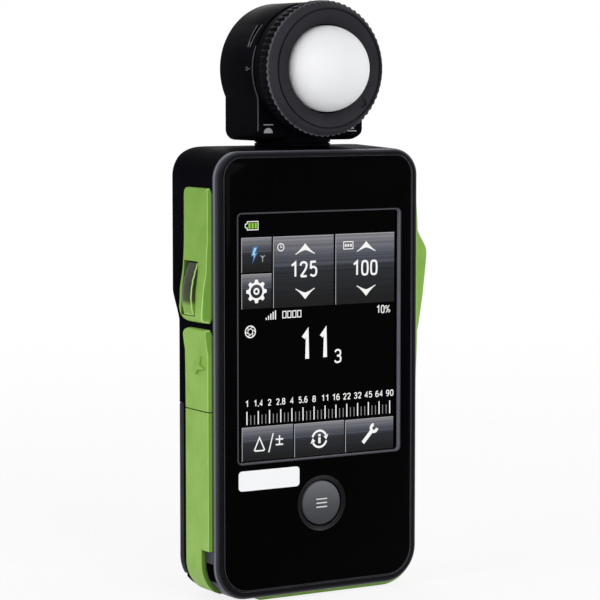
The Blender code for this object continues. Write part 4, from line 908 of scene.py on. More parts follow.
def ribbon(path, width, closed=False):
    """Quads of one even width along a path, mitred where they meet."""
    count = len(path)
    sides = []
    for i, (x, z) in enumerate(path):
        before = path[i - 1] if closed or i > 0 else None
        after = path[(i + 1) % count] if closed or i < count - 1 else None
        ahead = Vector((after[0] - x, after[1] - z)).normalized() if after else None
        behind = Vector((x - before[0], z - before[1])).normalized() if before else None
        ahead = ahead or behind
        behind = behind or ahead
        along = (ahead + behind).normalized() if (ahead + behind).length > 1e-6 else ahead
        reach = width / 2 / max(along.dot(ahead), 0.45)
        out, up = along.y * reach, along.x * reach
        sides.append(((x - out, z + up), (x + out, z - up)))
    made = []
    for i in range(count if closed else count - 1):
        a, b = sides[i], sides[(i + 1) % count]
        made.append([a[0], b[0], b[1], a[1]])
    return made


def number(text, left, low, width, height, pen):
    """Digits drawn with an even pen in a space whose lower left corner and size are given."""
    gap = pen * 0.95
    dot = pen * 1.1
    dots = text.count(".")
    wide = (width - dots * dot - gap * (len(text) - 1)) / (len(text) - dots)
    made = []
    x = left
    for letter in text:
        if letter == ".":
            made.append(bar(x, low, x + dot, low + dot))
            x += dot + gap
            continue
        for kind, points in DIGITS[letter]:
            foot, tall = low + pen / 2, height - pen
            spots = [(x + pen / 2 + a * (wide - pen), foot + b * tall) for a, b in points]
            if kind != "line":
                spots = eased(spots, kind == "loop")
            made += ribbon(spots, pen, kind == "loop")
        x += wide + gap
    return made


def bar(x0, z0, x1, z1):
    return [(x0, z0), (x1, z0), (x1, z1), (x0, z1)]


def polar(x, z, radius, turn):
    return (x + radius * cos(turn), z + radius * sin(turn))


def chevron(x, z, half, height, up):
    """A spread arrowhead whose flanks curve inwards."""
    sign = 1 if up else -1
    tip, foot = z + sign * height / 2, z - sign * height / 2
    made = []
    steps = 8
    for side in (-1, 1):
        for i in range(steps):
            quad = []
            for t in (i / steps, (i + 1) / steps):
                outer = tip + (foot - tip) * 0.9 * (1 - (1 - t) ** 1.3)
                inner = tip - sign * height * 0.6 + (foot - tip + sign * height * 0.6) * t**1.3
                quad.append(((x + side * half * t, outer), (x + side * half * t, inner)))
            made.append([quad[0][0], quad[1][0], quad[1][1], quad[0][1]])
    return made


def gear(x, z, outer, inner, teeth=8):
    """A toothed ring drawn as quads, with a disc left open in its middle."""
    made = []
    steps = teeth * 8
    body = outer * 0.76
    for i in range(steps):
        a, b = 2 * pi * i / steps, 2 * pi * (i + 1) / steps
        quad = ((inner, a), (body, a), (body, b), (inner, b))
        made.append([polar(x, z, *spot) for spot in quad])
    for i in range(teeth):
        t = 2 * pi * i / teeth + pi / 2
        foot, wide, thin = body * 0.95, 0.3, 0.13
        quad = ((foot, -wide), (outer, -thin), (outer, thin), (foot, wide))
        made.append([polar(x, z, radius, t + turn) for radius, turn in quad])
    return made


def lit(name, look, shapes, lift=0.06, uv=False):
    """Shapes just under the face of the display's glass."""
    shapes = [[(x + SCREEN_SHIFT, z) for x, z in outline] for outline in shapes]
    dress(flat(name, shapes, GLASS_FACE - lift, uv), look, "body", "touch_glass")


def make_display():
    steps = ((0.2, 2.4), (0.2, GLASS_FACE + 0.05), (0.15, GLASS_FACE))
    glass = loft("display_face", [at_depth(depth, window_outline(margin)) for margin, depth in steps])
    dress(glass, "glass", "body", "touch_glass", "touch_glass")

    tiles = [
        bar(-20.14, 77.45, -12.1, 85.5),
        bar(-20.14, 69.0, -12.1, 77.05),
        bar(-11.66, 68.9, 4.82, 85.5),
        bar(5.35, 68.9, 21.85, 85.55),
        bar(-20.1, 33.5, -6.3, 41.4),
        bar(-5.95, 33.4, 7.8, 41.3),
        bar(8.15, 33.5, 21.75, 41.2),
    ]
    lit("display_tiles", "tile", tiles, 0.03, True)
    edges = []
    for (left, low), _, (right, high), _ in tiles:
        edges += [bar(left, high - 0.14, right, high), bar(left, low, left + 0.16, high)]
    lit("tile_edges", "soft", edges, 0.04)

    shapes = []
    for figure in (
        ("125", -7.1, 75.75, 7.4, 3.8, 0.5),
        ("100", 10.0, 75.45, 7.1, 3.7, 0.5),
        ("1", -4.2, 56.0, 2.75, 7.4, 1.05),
        ("1", 0.75, 56.1, 2.75, 7.4, 1.05),
        ("3", 5.0, 55.0, 2.05, 3.35, 0.42),
        ("10", 16.8, 66.25, 2.35, 1.95, 0.26),
    ):
        shapes += number(*figure)
    for x, height in ((-3.0, 2.6), (13.9, 2.5)):
        shapes += chevron(x, 82.4, 2.6, height, True) + chevron(x, 71.9, 2.6, 2.6, False)
    left, length = -18.75, 39.45
    for i, label in enumerate("1 1.4 2 2.8 4 5.6 8 11 16 22 32 45 64 90".split()):
        width = (0.95, 2.1, 2.45)[len(label) - 1]
        shapes += number(label, left + length * i / 13 - width / 2, 46.15, width, 1.55, 0.23)
    marks = []
    for i in range(40):
        x = left + length * i / 39
        if i % 3 == 0:
            shapes.append(bar(x - 0.14, 42.0, x + 0.14, 45.1))
        else:
            marks.append(bar(x - 0.1, 42.0, x + 0.1, 44.2))
    shapes += gear(-16.15, 73.0, 2.75, 1.6) + ring_icon(-16.15, 73.0, 0.6, 0.42)
    shapes += clock_icon(-9.6, 83.0) + film_icon(8.9, 82.8) + wave_icon(-9.3, 67.25)
    shapes += iris_icon(-17.8, 63.7) + average_icon(-13.2, 37.4) + cycle_icon(0.95, 37.3)
    shapes += spanner_icon(14.9, 37.4) + percent_icon(20.0, 67.2)
    lit("display_readout", "white", shapes)
    lit("display_marks", "dim", marks)

    left, right, low, high = -18.6, -15.7, 87.3, 89.2
    case = [(left, low), (right, low), (right, high), (left, high)]
    case += [(left, 88.75), (-19.1, 88.6), (-19.1, 87.9), (left, 87.75)]
    lit("battery_case", "white", ribbon(case, 0.2, True))
    cells = [bar(-18.25 + 0.82 * i, 87.6, -17.7 + 0.82 * i, 88.9) for i in range(3)]
    lit("battery_cells", "lime", cells)
    bolt = [(-17.0, 83.4), (-15.7, 83.4), (-16.35, 82.0), (-15.8, 82.0)]
    lit("flash_icon", "blue", [[*bolt, (-17.25, 79.4), (-16.9, 81.2), (-17.6, 81.2)]])
    shine = [(-16.75, 83.1), (-16.1, 83.1), (-16.75, 81.75), (-16.35, 81.75)]
    lit("flash_shine", "sky", [[*shine, (-16.95, 80.5), (-16.75, 81.45), (-17.3, 81.45)]], 0.07)
    aerial = ribbon([(-15.1, 81.3), (-14.5, 80.7), (-13.9, 81.3)], 0.18)
    lit("aerial_icon", "soft", [*aerial, bar(-14.6, 79.8, -14.4, 81.2)])


def ring_icon(x, z, radius, width, start=0, end=360, steps=24):
    return ribbon(arc((x, z), radius, start, end, steps), width)


def clock_icon(x, z):
    return ring_icon(x, z, 0.85, 0.22) + ribbon([(x, z + 0.55), (x, z), (x + 0.42, z)], 0.2)


def film_icon(x, z):
    made = ribbon(bar(x - 1.3, z - 0.85, x + 1.3, z + 0.85), 0.2, True)
    for i in range(3):
        made.append(bar(x - 0.95 + 0.72 * i, z - 0.32, x - 0.5 + 0.72 * i, z + 0.32))
    return made


def wave_icon(x, z):
    made = []
    for i, height in enumerate((0.5, 0.95, 1.4, 1.8, 2.1)):
        made.append(bar(x - 4.4 + 0.62 * i, z - 1.0, x - 4.1 + 0.62 * i, z - 1.0 + height))
    for i in range(4):
        left, right = x + 0.2 + 1.35 * i, x + 1.1 + 1.35 * i
        made += ribbon(bar(left, z - 0.75, right, z + 0.75), 0.22, True)
    return made


def iris_icon(x, z):
    made = ring_icon(x, z, 1.35, 0.26)
    for i in range(6):
        turn = radians(60 * i)
        blade = [polar(x, z, 1.3, turn), polar(x, z, 0.62, turn + radians(75))]
        made += ribbon(blade, 0.2)
    return made


def average_icon(x, z):
    made = ribbon([(x - 3.6, z - 1.6), (x - 2.2, z + 1.4), (x - 0.8, z - 1.6)], 0.34)
    made += ribbon([(x - 3.4, z - 1.65), (x - 0.95, z - 1.65)], 0.34)
    made += ribbon([(x + 0.3, z - 2.2), (x + 1.5, z + 2.2)], 0.3)
    made += [bar(x + 2.2, z + 0.5, x + 4.2, z + 0.85), bar(x + 2.2, z - 0.75, x + 4.2, z - 0.4)]
    return [*made, bar(x + 3.03, z - 0.4, x + 3.37, z + 1.6)]


def cycle_icon(x, z):
    made = ring_icon(x, z, 1.95, 0.5, 25, 165) + ring_icon(x, z, 1.95, 0.5, 205, 345)
    for degrees in (20, 200):
        turn = radians(degrees)
        head = ((1.25, turn + 0.05), (1.9, turn - 0.5), (2.65, turn + 0.05))
        made.append([polar(x, z, *spot) for spot in head])
    made += [bar(x - 0.32, z - 1.05, x + 0.32, z + 0.35), bar(x - 0.32, z + 0.6, x + 0.32, z + 1.15)]
    return made


def spanner_icon(x, z):
    made = ribbon([(x - 1.8, z - 2.0), (x + 0.8, z + 0.8)], 0.95)
    made += ring_icon(x + 1.35, z + 1.35, 0.85, 0.75, 95, 355, 16)
    return made


def percent_icon(x, z):
    made = ring_icon(x - 0.38, z + 0.48, 0.3, 0.17, steps=12)
    made += ring_icon(x + 0.38, z - 0.48, 0.3, 0.17, steps=12)
    return made + ribbon([(x - 0.45, z - 0.9), (x + 0.45, z + 0.9)], 0.17)


def make_panel_details():
    outline = rounded(-21.96, -5.56, 26.73, 31.42, 0.9, 0.9, 8)
    plate = prism("blank_label", outline, PANEL_FACE - 0.06, PANEL_FACE + 0.1)
    dress(plate, "label", "body", "gloss_black")
    face = PANEL_FACE
    profile = [(0.001, face + 0.13), (1.8, face + 0.1), (3.4, face + 0.03), (4.5, face)]
    profile += arc((4.78, face + 0.42), 0.42, -90, 0, 6)
    profile += [(5.2, 2.5), (6.2, 2.5), (6.2, 3.0), (0.001, 3.0)]
    key = turned("menu_key", profile, "y", 96, (MENU_X, MENU_Z))
    dress(key, "button", "menu_button", "button_grey", "menu_button")
    left, right = MENU_X - 1.5, MENU_X + 1.5
    rows = [MENU_Z + 0.95 * i for i in (-1, 0, 1)]
    bars = [bar(left, z - 0.15, right, z + 0.15) for z in rows]
    dress(flat("menu_bars", bars, face - 0.01), "ink", "menu_button", "button_grey")


def make_rear():
    rings = []
    for z in shell_heights(BODY_LOW, BODY_HIGH):
        half, back = half_width(z), shell_depth(z)
        outline = [(-half, SHELL_FRONT), (half, SHELL_FRONT)]
        outline += arc((half - REAR_EDGE, back - REAR_EDGE), REAR_EDGE, 0, 90, 10)
        outline += arc((-half + REAR_EDGE, back - REAR_EDGE), REAR_EDGE, 90, 180, 10)
        rings.append(at_height(z, outline))
    shell = loft("rear_case", rings, angle=38)
    cuts = [
        pocket("p1", -1, upper_grip_stations()),
        pocket("p2", -1, flap_stations()),
        pocket("p3", -1, lower_grip_stations()),
        pocket("p4", 1, right_grip_stations()),
        box("memory_pocket", *MEMORY_POCKET),
        box("measure_pocket", *MEASURE_POCKET),
        box("strap_side", (-31.0, -17.5), (-0.1, 5.2), (5.7, 10.7)),
        box("strap_foot", (-22.5, -17.5), (-0.1, 5.2), (-2.0, 10.7)),
        rod("neck_hole", (0.0, SWIVEL_DEPTH), 6.2, 103.0, 110.0, "z", 64),
        rod("bush_hole", (0.0, 58.3), 4.9, 11.3, 24.0),
        rod("sync_mouth", SYNC_SPOT, 3.9, -31.0, -25.0, "x"),
        rod("power_hole", POWER_SPOT, 3.7, 19.0, 26.0),
    ]
    rim, floor, core = 15.6, 17.9, 25.9
    outline = [(-40, rim), (-core, rim), (-core, floor), (core, floor), (core, rim), (40, rim)]
    cuts.append(prism("door_space", [*outline, (40, 30), (-40, 30)], -2.0, DOOR_HIGH + 0.3, "z"))
    for x, z, seat in CASE_SCREWS:
        cuts.append(rod("counterbore", (x, z), 2.3, seat, 30.0))
    carve(shell, cuts, angle=38)
    hollow = box("hollow", (-25.6, 25.6), (-1.0, 6.0), (14.0, 103.0))
    carve(shell, [hollow, box("bay", (-11.1, 11.1), (7.0, 30.0), (3.9, 45.4))], angle=38)
    for vertex in shell.data.vertices:
        above = vertex.co.z / MM - 98.0
        if above > 0:
            depth = (vertex.co.y / MM + SWIVEL_DEPTH - 2.0) / 20.0
            rise = 0.3 * min(depth * 2.5, 1.0) - 0.3 * max(1 - depth * 6, 0.0)
            vertex.co.z += min(above / 7.8, 1.0) * rise * MM
    dress(shell, "shell", "body", "black_plastic", "rear_shell")


def make_door():
    rings = []
    inner, half_in = 18.2, 26.3
    for z in shell_heights(DOOR_LOW, DOOR_HIGH):
        half = half_width(z)
        outer = [(half, DOOR_FRONT), *arc((half - REAR_EDGE, 17.2), REAR_EDGE, 0, 90, 10)]
        outer += [*arc((-half + REAR_EDGE, 17.2), REAR_EDGE, 90, 180, 10), (-half, DOOR_FRONT)]
        inside = [(half_in - 0.6, inner), (half_in, inner - 0.6), (half_in, DOOR_FRONT)]
        outer += [(-x, depth) for x, depth in reversed(inside)] + inside
        rings.append(at_height(z, outer))
    door = loft("rear_door", rings, angle=38)
    cuts = []
    for i in range(5):
        z = 41.8 - 1.6 * i
        reach = 7.0 - 0.7 * abs(i - 2)
        outline = rounded(-reach, reach, z - 0.4, z + 0.4, 0.39, 0.39, 5)
        cuts.append(prism("groove", outline, 19.3, 22.0))
    carve(door, cuts, angle=38)
    dress(door, "door", "battery_door", "black_plastic", "battery_door")


def make_grips():
    upper = strip("thumb_grip", -1, upper_grip_stations())
    carve(upper, [box("memory_recess", *MEMORY_POCKET)], angle=40)
    dress(upper, "left_green", "body", "green_rubber", "left_upper_grip")
    lower = strip("palm_grip", -1, lower_grip_stations())
    carve(lower, [box("relief", (-40, 0), (0.0, 5.95), (-4.0, 12.85))], angle=40)
    dress(lower, "left_green", "body", "green_rubber", "left_lower_grip")
    right = strip("finger_grip", 1, right_grip_stations())
    carve(right, [box("measure_recess", *MEASURE_POCKET)], angle=40)
    dress(right, "green", "body", "green_rubber", "right_grip")
    flap = strip("sync_cover", -1, flap_stations())
    carve(flap, [rod("plug", SYNC_SPOT, 3.1, -28.0, -26.3, "x")], "UNION", 40)
    dress(flap, "left_green", "sync_cover", "green_rubber", "sync_flap")
    bolt = [(5.6, 58.2), (8.6, 56.7), (7.5, 56.1), (9.8, 55.1)]
    bolt += [(7.8, 53.7), (7.1, 54.8), (3.9, 55.3), (6.2, 56.1)]
    mark = prism("flash_emboss", bolt, -29.15, -28.3, "x")
    dress(soften(mark, 0.25, 3), "green_key", "sync_cover", "green_rubber")


def key_rings(low, high, count, section):
    """Rings at even places from low to high: section gives the points at each place."""
    return [section(low + (high - low) * (i / count)) for i in range(count + 1)]


def make_memory_key():
    inner, low, front, back = BODY_HALF - GAP, MEMORY_LOW, MEMORY_FRONT, MEMORY_BACK
    crown = (
        *((67.6, 1.75), (67.75, 2.1), (68.2, 2.35), (69.6, 2.62), (71.5, 2.78), (73.4, 2.64)),
        *((75.4, 2.3), (77.3, 1.75), (78.8, 1.25), (79.5, 1.0), (79.7, 0.75)),
    )
    falls = ((front, 0.3), (7.14, 0.12), (7.24, 0.03), (7.4, 0.0), (8.6, 0.04), (10.3, 0.12))
    falls += ((11.8, 0.35), (12.8, 0.75), (back, 1.15))

    def body(z):
        face = BODY_HALF + blend(crown, z)
        outline = [(-face + fall, depth) for depth, fall in falls]
        return at_height(z, [(-inner, front), *outline, (-inner, back)])

    def bead(z):
        face = BODY_HALF + blend(crown, z)
        outline = ((0.2, 7.03), (-0.02, 7.07), (-0.03, 7.22), (0.2, 7.22))
        return at_height(z, [(-face + out, depth) for out, depth in outline])

    def foot(depth):
        face = BODY_HALF + 2.12 - blend(falls[3:4] + falls[5:8], depth)
        outline = ((0.25, 67.58), (-0.1, 67.62), (-0.14, 67.84), (0.1, 67.9))
        return at_depth(depth, [(-face + out, z) for out, z in outline])

    memory = loft("memory_key", key_rings(low, MEMORY_HIGH, 60, body), angle=35)
    stem = box("stem", (-27.8, -24.9), (8.5, 11.9), (70.2, 77.1))
    flange = box("flange", (-25.3, -24.5), (7.6, 12.8), (69.3, 78.0))
    carve(memory, [stem, flange], "UNION", 35)
    dress(memory, "key", "memory_button", "green_plastic", "memory_button")
    # The bead along the key's front edge and the strip along its foot are painted light green:
    # painted highlights on those edges.
    for name, rings in (
        ("memory_key_edge", key_rings(low + 0.06, MEMORY_HIGH - 0.06, 60, bead)),
        ("memory_key_foot", key_rings(7.06, 12.66, 20, foot)),
    ):
        dress(loft(name, rings, angle=60), "painted_highlight", "memory_button", "green_plastic")


def make_measure_key():
    inner, front, back = BODY_HALF - GAP, MEASURE_FRONT, MEASURE_BACK
    shape = (
        *((0.0, 1.6), (0.25, 1.95), (1.0, 2.2), (9.1, 3.55), (17.8, 4.55), (20.1, 4.7)),
        *((21.1, 4.4), (22.4, 3.5), (23.6, 2.7), (24.9, 2.1), (25.2, 1.9), (25.4, 1.6)),
    )
    stations = []
    for a, b in zip(shape, shape[1:]):
        count = max(int((b[0] - a[0]) / 0.5), 1)
        stations += [
            (a[0] + (b[0] - a[0]) * k / count, a[1] + (b[1] - a[1]) * k / count)
            for k in range(count)
        ]
    stations.append(shape[-1])
    for _ in range(3):
        triples = zip(stations, stations[1:], stations[2:])
        smooth = [(q[0], (p[1] + 2 * q[1] + r[1]) / 4) for p, q, r in triples]
        stations = [stations[0], *smooth, stations[-1]]
    rings = []
    for along, proud in stations:
        face = BODY_HALF + proud
        lip = min(0.5, 0.5 * proud)
        side, rise = face - lip, 1.2 * lip
        outline = [(inner, front), (side, front), *arc((side, front + rise), lip, -72, 0, 4, rise)]
        outline += [*arc((side, back - rise), lip, 0, 72, 4, rise), (side, back), (inner, back)]
        rings.append(at_height(MEASURE_LOW + along, outline))
    measure = loft("measure_key", rings, angle=45)
    stem = box("stem", (24.9, 27.8), (7.3, 10.6), (71.5, 78.5))
    flange = box("flange", (24.5, 25.3), (6.4, 11.5), (70.6, 79.4))
    carve(measure, [stem, flange], "UNION", 45)
    dress(measure, "green_key", "measure_button", "green_plastic", "measure_button")


def make_power_key():
    profile = [(0.001, 19.7), (4.2, 19.7), (4.2, 20.6), (3.4, 20.6), (3.4, 22.95)]
    profile += [*arc((3.0, 22.95), 0.4, 20, 80, 3), (2.4, 23.33), (0.001, 23.2)]
    power = turned("power_key", profile, "y", 64, POWER_SPOT)
    dress(power, "button", "power_button", "button_grey", "power_button")
    x, z = POWER_SPOT
    mark = ring_icon(x, z, 1.2, 0.24, 125, 415, 24) + [bar(x - 0.12, z - 0.05, x + 0.12, z + 1.5)]
    dress(flat("power_mark", mark, 23.36), "ink", "power_button", "button_grey")


# Head


def on_drum(turn, section):
    return [(radius * cos(turn), depth, HEAD_Z + radius * sin(turn)) for radius, depth in section]


def make_head():
    bore, back, wall = HEAD_BORE, HEAD_BACK, DRUM_RADIUS - 0.25
    profile = [(bore, 1.9), (15.0, 1.9), (15.2, 2.1), (15.2, 4.3), (14.8, 4.4), (14.8, 4.75)]
    profile += [(wall, 4.75), *arc((wall, 5.0), 0.25, -60, 0, 2), (DRUM_RADIUS, 19.8)]
    profile += arc((14.8, 19.8), 0.7, 15, 90, 5)
    profile += [(bore, back), (bore, 17.0), (6.2, 17.0), (6.2, 15.6), (bore, 15.6)]
    drum = turned("head_case", profile, "y", 180, angle=38)
    stages = (
        *((4.7, 14.1, 108.72), (4.74, 14.22, 108.6), (4.86, 14.32, 108.45), (5.4, 14.35, 108.2)),
        *((6.2, 14.35, 107.9), (7.2, 14.35, 107.66), (8.4, 14.35, 107.55), (18.4, 14.35, 107.55)),
        *((19.2, 14.35, 107.66), (19.8, 14.33, 107.95), (20.15, 14.25, 108.3)),
        *((20.36, 14.1, 108.7), (back, 13.85, 109.1)),
    )
    rings = []
    for depth, half, low in stages:
        left, right = BLOCK_SHIFT - half, half + BLOCK_SHIFT
        rings.append(at_depth(depth, rounded(left, right, low, HEAD_Z, 1.7, 0.2)))
    block = loft("block", rings, angle=38)
    carve(block, [rod("block_bore", (0.0, HEAD_Z), 14.6, 0.0, 30.0, "y", 144)])
    collar = ((3.7, 101.0), (5.9, 101.0), (5.9, 106.15), (8.8, 106.15), (9.0, 106.3))
    groove = ((9.0, 106.68), (8.85, 106.8), (8.6, 106.86), (8.6, 106.98), (8.85, 107.04))
    root = ((9.0, 107.16), (9.0, 108.2), (8.6, 109.4), (3.7, 109.4))
    neck = turned("neck", (*collar, *groove, *root), "z", 96, (0.0, SWIVEL_DEPTH))
    carve(drum, [block, neck], "UNION", 38)
    turns = [radians(180 - 18.6 - 22.4 * i / 12) for i in range(13)]
    section = [(15.15, 7.0), (17.0, 7.0), (17.0, 8.1), (15.15, 8.1)]
    slot = loft("side_slot", [on_drum(turn, section) for turn in turns])
    wire = rod("wire_bore", (0.0, SWIVEL_DEPTH), 4.2, 99.2, 111.8, "z")
    carve(drum, [wire, slot], angle=38)
    dress(drum, "head", "head", "black_plastic", "head_housing")
    # The two rails in the side slot are light strips: painted highlights along the slot's edges.
    for index, (start, drift) in enumerate(((7.05, -0.55), (8.1, 0.4))):
        rings = []
        for i in range(17):
            low = start + drift * i / 16 - 0.09
            high = low + 0.18
            crest = (15.6, (low + high) / 2)
            section = [(15.2, low), (15.56, low), crest, (15.56, high), (15.2, high)]
            rings.append(on_drum(radians(180 - 18.9 - 21.8 * i / 16), section))
        rail = loft("index_rail_%d" % index, rings, angle=50)
        dress(rail, "dark_ink_and_highlight", "head", "black_plastic")
    # A thin light strip along the front edge of the collar and block, thinning out towards its upper
    # end: a painted highlight.
    rings = []
    path = [(-13.92, 109.9 + 0.5 * i) for i in range(15)]
    path += arc((0.0, HEAD_Z), 15.42, 204, 160, 22)
    for i, (x, z) in enumerate(path):
        ahead = path[min(i + 1, len(path) - 1)]
        behind = path[max(i - 1, 0)]
        along = Vector((ahead[0] - behind[0], ahead[1] - behind[1])).normalized()
        out = (-along.y, along.x)
        fade = min(1.0, (len(path) - 1 - i) / 8 + 0.1)
        wide = 0.09 * fade
        spots = ((-0.12, 4.88), (0.02 + wide, 4.84), (0.02 + wide, 4.74), (-0.12, 4.66))
        rings.append([(x + o * out[0], d, z + o * out[1]) for o, d in spots])
    lining = loft("collar_edge", rings, angle=50)
    dress(lining, "edge", "head", "black_plastic")

    profile = [(0.001, 18.5), (13.4, 18.5), (13.4, 20.1), *arc((13.0, 20.1), 0.4, 30, 90, 2)]
    profile += [(11.0, 20.5), (10.8, 20.45), (10.5, 20.2), (0.001, 20.2)]
    cover = turned("head_back", profile, "y", 96, angle=38)
    cuts = [rod("hole", (side * 9.5, HEAD_Z), 1.2, 17.0, 22.0) for side in (-1, 1)]
    cuts += [rod("seat", (side * 9.5, HEAD_Z), 2.2, 19.1, 22.0) for side in (-1, 1)]
    carve(cover, cuts, angle=38)
    dress(cover, "head", "head", "black_plastic", "head_rear_cover")

    icons = [arc((-11.2, 109.4), 1.2, 0, 180, 12), bar(-12.45, 111.2, -9.9, 111.42)]
    icons += [arc((11.7, 110.15), 0.62, 0, 180, 12), bar(10.4, 109.55, 13.0, 109.8)]
    dress(flat("head_icons", icons, 4.68), "grey_ink", "head", "black_plastic")
    marks = []
    for k in range(16):
        turn, after = radians(22.5 * k), radians(22.5 * (k + 1))
        quad = ((0.32, turn), (0.46, turn), (0.46, after), (0.32, after))
        marks.append([polar(0.0, 0.0, *spot) for spot in quad])
    marks.append(bar(-1.5, -0.07, -0.46, 0.07))
    made = flat("side_mark", marks, 0.0)
    for vertex in made.data.vertices:
        along = vertex.co.x / MM
        up = vertex.co.z / MM
        turn = radians(180) - up / 15.55
        vertex.co = place(15.53 * cos(turn), 7.2 + along, HEAD_Z + 15.53 * sin(turn))
    made.data.flip_normals()
    dress(made, "dark_ink_and_highlight", "head", "black_plastic")


def make_ring():
    bore, face, front, back, radius = RING_BORE, RING_FACE, RING_FRONT, RING_BACK, RING_RADIUS

    def fluted(name, profile, depths):
        """A turned profile with flutes, whose depths are given by the index of its points."""

        def radius_at(index, turn):
            share = (0.5 + 0.5 * cos(FLUTES * turn)) ** 1.5
            return profile[index][0] - depths.get(index, 0.0) * share

        return turned(name, profile, "y", FLUTES * 8, None, radius_at, 30)

    profile = [(bore, -3.02), (bore + 0.1, -3.14), (face - 0.12, front + 0.16)]
    profile += [(face, front + 0.24), (face + 0.03, front + 0.6), (face + 0.36, front + 0.6)]
    profile += [(face + 0.4, front + 0.14), (face + 0.5, front + 0.02), (face + 0.7, front)]
    profile += [(face + 0.88, front + 0.1), (radius - 0.32, -2.62), (radius - 0.14, -2.42)]
    profile += [(radius - 0.06, -2.28), (radius - 0.1, -2.14), (radius - 0.9, -2.1)]
    profile += [(radius - 0.9, -1.4), (bore, -1.4)]
    ring = fluted("ring_face", profile, {10: 0.12, 11: 0.24, 12: 0.3, 13: 0.3})

    # A thin light band on the ring's fluted crest: a painted highlight on that edge.
    lip = [(0.7, -2.3), (0.34, -2.66), (0.16, -2.5), (0.03, -2.3), (0.05, -2.12), (0.7, -2.12)]
    lip = [(radius - inset, depth) for inset, depth in lip]
    crest = fluted("ring_crest", lip, {1: 0.12, 2: 0.24, 3: 0.3, 4: 0.3})
    dress(crest, "crest", "retract_ring", "black_plastic")

    side = [(13.6, -1.3), (radius - 0.8, -1.3), (radius - 0.8, -2.06), (radius - 0.12, -2.08)]
    side += [(radius - 0.04, -1.9), (radius, -1.5), (radius, back - 0.8)]
    side += [(radius - 0.06, back - 0.4), (radius - 0.35, back - 0.08), (radius - 0.6, back)]
    side.append((13.6, back))
    flank = fluted("ring_flutes", side, {3: 0.3, 4: 0.34, 5: 0.36, 6: 0.36, 7: 0.26})
    dress(flank, "flutes", "retract_ring", "black_plastic")
    turn = radians(INDEX_ANGLE)
    half, inner, outer = 1.15, bore + 0.9, face - 0.3 - 1.15
    outline = [(inner, -half)] + arc((outer, 0.0), half, -90, 90, 16) + [(inner, half)]
    placed = [
        (a * cos(turn) - b * sin(turn), HEAD_Z + a * sin(turn) + b * cos(turn)) for a, b in outline
    ]
    carve(ring, [prism("index_mark", placed, front - 1.0, front + 0.95)], angle=38)
    dress(ring, "ring", "retract_ring", "black_plastic", "retract_ring")

    base, outer, inner = DOME_BASE, DOME_RADIUS, DOME_RADIUS - DOME_WALL
    curve = arc((0.0, base), outer, 0, 90, 30, -outer) + arc((0.0, base), inner, 90, 0, 15, -inner)
    profile = [(max(radius, 0.001), depth) for radius, depth in curve]
    profile = [(outer, base + 1.4), *profile, (inner, base + 1.4)]
    dome = turned("light_dome", profile, "y", 128, angle=60)
    dress(dome, "dome", "lumisphere", "white_diffuser", "lumisphere")


def dress_nodes():
    """Better finishes for the nodes whose shapes are right as they are."""
    finish = {
        "brass": "tripod_bush sync_pin swivel_washer",
        "sleeve": "cam_sleeve",
        "board": "main_board rear_board sensor_board",
        "cell": "battery_cell_left battery_cell_right",
        "ivory": "sync_insulator",
        "filter": "sensor_filter",
        "head": "display_holder guide_tube lumisphere_carrier",
    }
    given = {node: look for look, nodes in finish.items() for node in nodes.split()}
    for name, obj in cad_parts.items():
        obj.data.materials.clear()
        obj.data.materials.append(LOOKS[given.get(name, "steel")].material)


# Stage


def seen_share(tree):
    """1 for rays that come from the camera, off a gloss or through a clear piece, otherwise 0."""
    rays = add(tree, "LightPath").outputs
    first = {0: rays["Is Camera Ray"], 1: rays["Is Glossy Ray"]}
    second = {
        0: add(tree, "Math", first, operation="MAXIMUM").outputs[0],
        1: rays["Is Transmission Ray"],
    }
    return add(tree, "Math", second, operation="MAXIMUM").outputs[0]


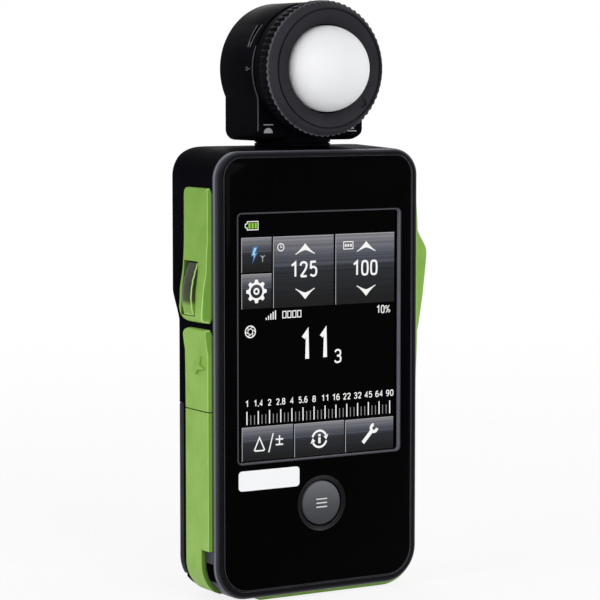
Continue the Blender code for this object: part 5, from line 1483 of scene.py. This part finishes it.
def make_stage():
    """A pale floor that goes to white away from the meter."""
    mesh = bpy.data.meshes.new("floor")
    mesh.from_pydata([(*corner, 0) for corner in bar(-30.0, -30.0, 30.0, 30.0)], [], [(0, 1, 2, 3)])
    floor = present("floor", mesh)
    floor.location.z = -0.0001
    material = bpy.data.materials.new("pale_floor")
    material.use_nodes = True
    tree = material.node_tree
    coords = add(tree, "TexCoord").outputs["Object"]
    away = add(tree, "VectorMath", {0: coords}, operation="LENGTH").outputs["Value"]
    inputs = {"Value": away, "From Min": 0.12, "From Max": 0.6, "To Min": 0.84, "To Max": 1.0}
    white = {0: seen_share(tree), 1: add(tree, "MapRange", inputs).outputs["Result"]}
    inputs = {
        "Fac": add(tree, "Math", white, operation="MULTIPLY").outputs[0],
        1: add(tree, "BsdfDiffuse", {"Color": (0.93, 0.93, 0.93, 1)}).outputs[0],
        2: add(tree, "Emission").outputs[0],
    }
    surface = tree.nodes["Material Output"].inputs["Surface"]
    feed(tree, surface, add(tree, "MixShader", inputs).outputs[0])
    mesh.materials.append(material)


def make_world():
    scene = bpy.context.scene
    scene.view_settings.view_transform = "Standard"
    world = bpy.data.worlds.new("studio")
    scene.world = world
    world.use_nodes = True
    tree = world.node_tree
    shown = tree.nodes["Background"]
    shown.inputs["Color"].default_value = (1, 1, 1, 1)
    shown.inputs["Strength"].default_value = 1.0
    lighting = {"Color": (0.97, 0.98, 1.0, 1), "Strength": 0.42}
    inputs = {
        "Fac": seen_share(tree),
        1: add(tree, "Background", lighting).outputs[0],
        2: shown.outputs[0],
    }
    surface = tree.nodes["World Output"].inputs["Surface"]
    feed(tree, surface, add(tree, "MixShader", inputs).outputs[0])


def lamp(name, spot, target, size, power):
    data = bpy.data.lights.new(name, "AREA")
    data.shape = "RECTANGLE"
    data.size, data.size_y = size
    data.energy = power
    obj = present(name, data)
    obj.location = spot
    obj.rotation_euler = (Vector(target) - Vector(spot)).to_track_quat("-Z", "Y").to_euler()


def make_lamps():
    middle = (0.0, 0.0, 0.07)
    lamp("key", (-0.7, -0.05, 0.38), middle, (0.45, 0.45), 2.3)
    lamp("fill", (-0.05, -0.8, 0.4), middle, (0.5, 0.5), 2.7)
    lamp("side", (0.7, -0.2, 0.35), middle, (0.4, 0.4), 1.2)
    lamp("back", (0.2, 0.7, 0.45), middle, (0.6, 0.4), 1.3)


def make_camera():
    """The photograph's view: yaw 31 degrees from the front, 5.2 degrees down."""
    data = bpy.data.cameras.new("camera")
    data.sensor_width = 36.0
    data.lens = 146.697
    data.clip_start = 0.01
    data.clip_end = 50.0
    camera = present("camera", data)
    camera.location = (-0.29793, -0.49939, 0.12243)
    camera.rotation_euler = Euler((radians(90.0 - 5.217), radians(-0.01), radians(-31.0)))
    bpy.context.scene.camera = camera


make_camera()
make_world()
make_lamps()
make_stage()
LOOKS = make_looks()
dress_nodes()
make_front()
make_display()
make_panel_details()
make_rear()
make_door()
make_grips()
make_memory_key()
make_measure_key()
make_power_key()
make_head()
make_ring()
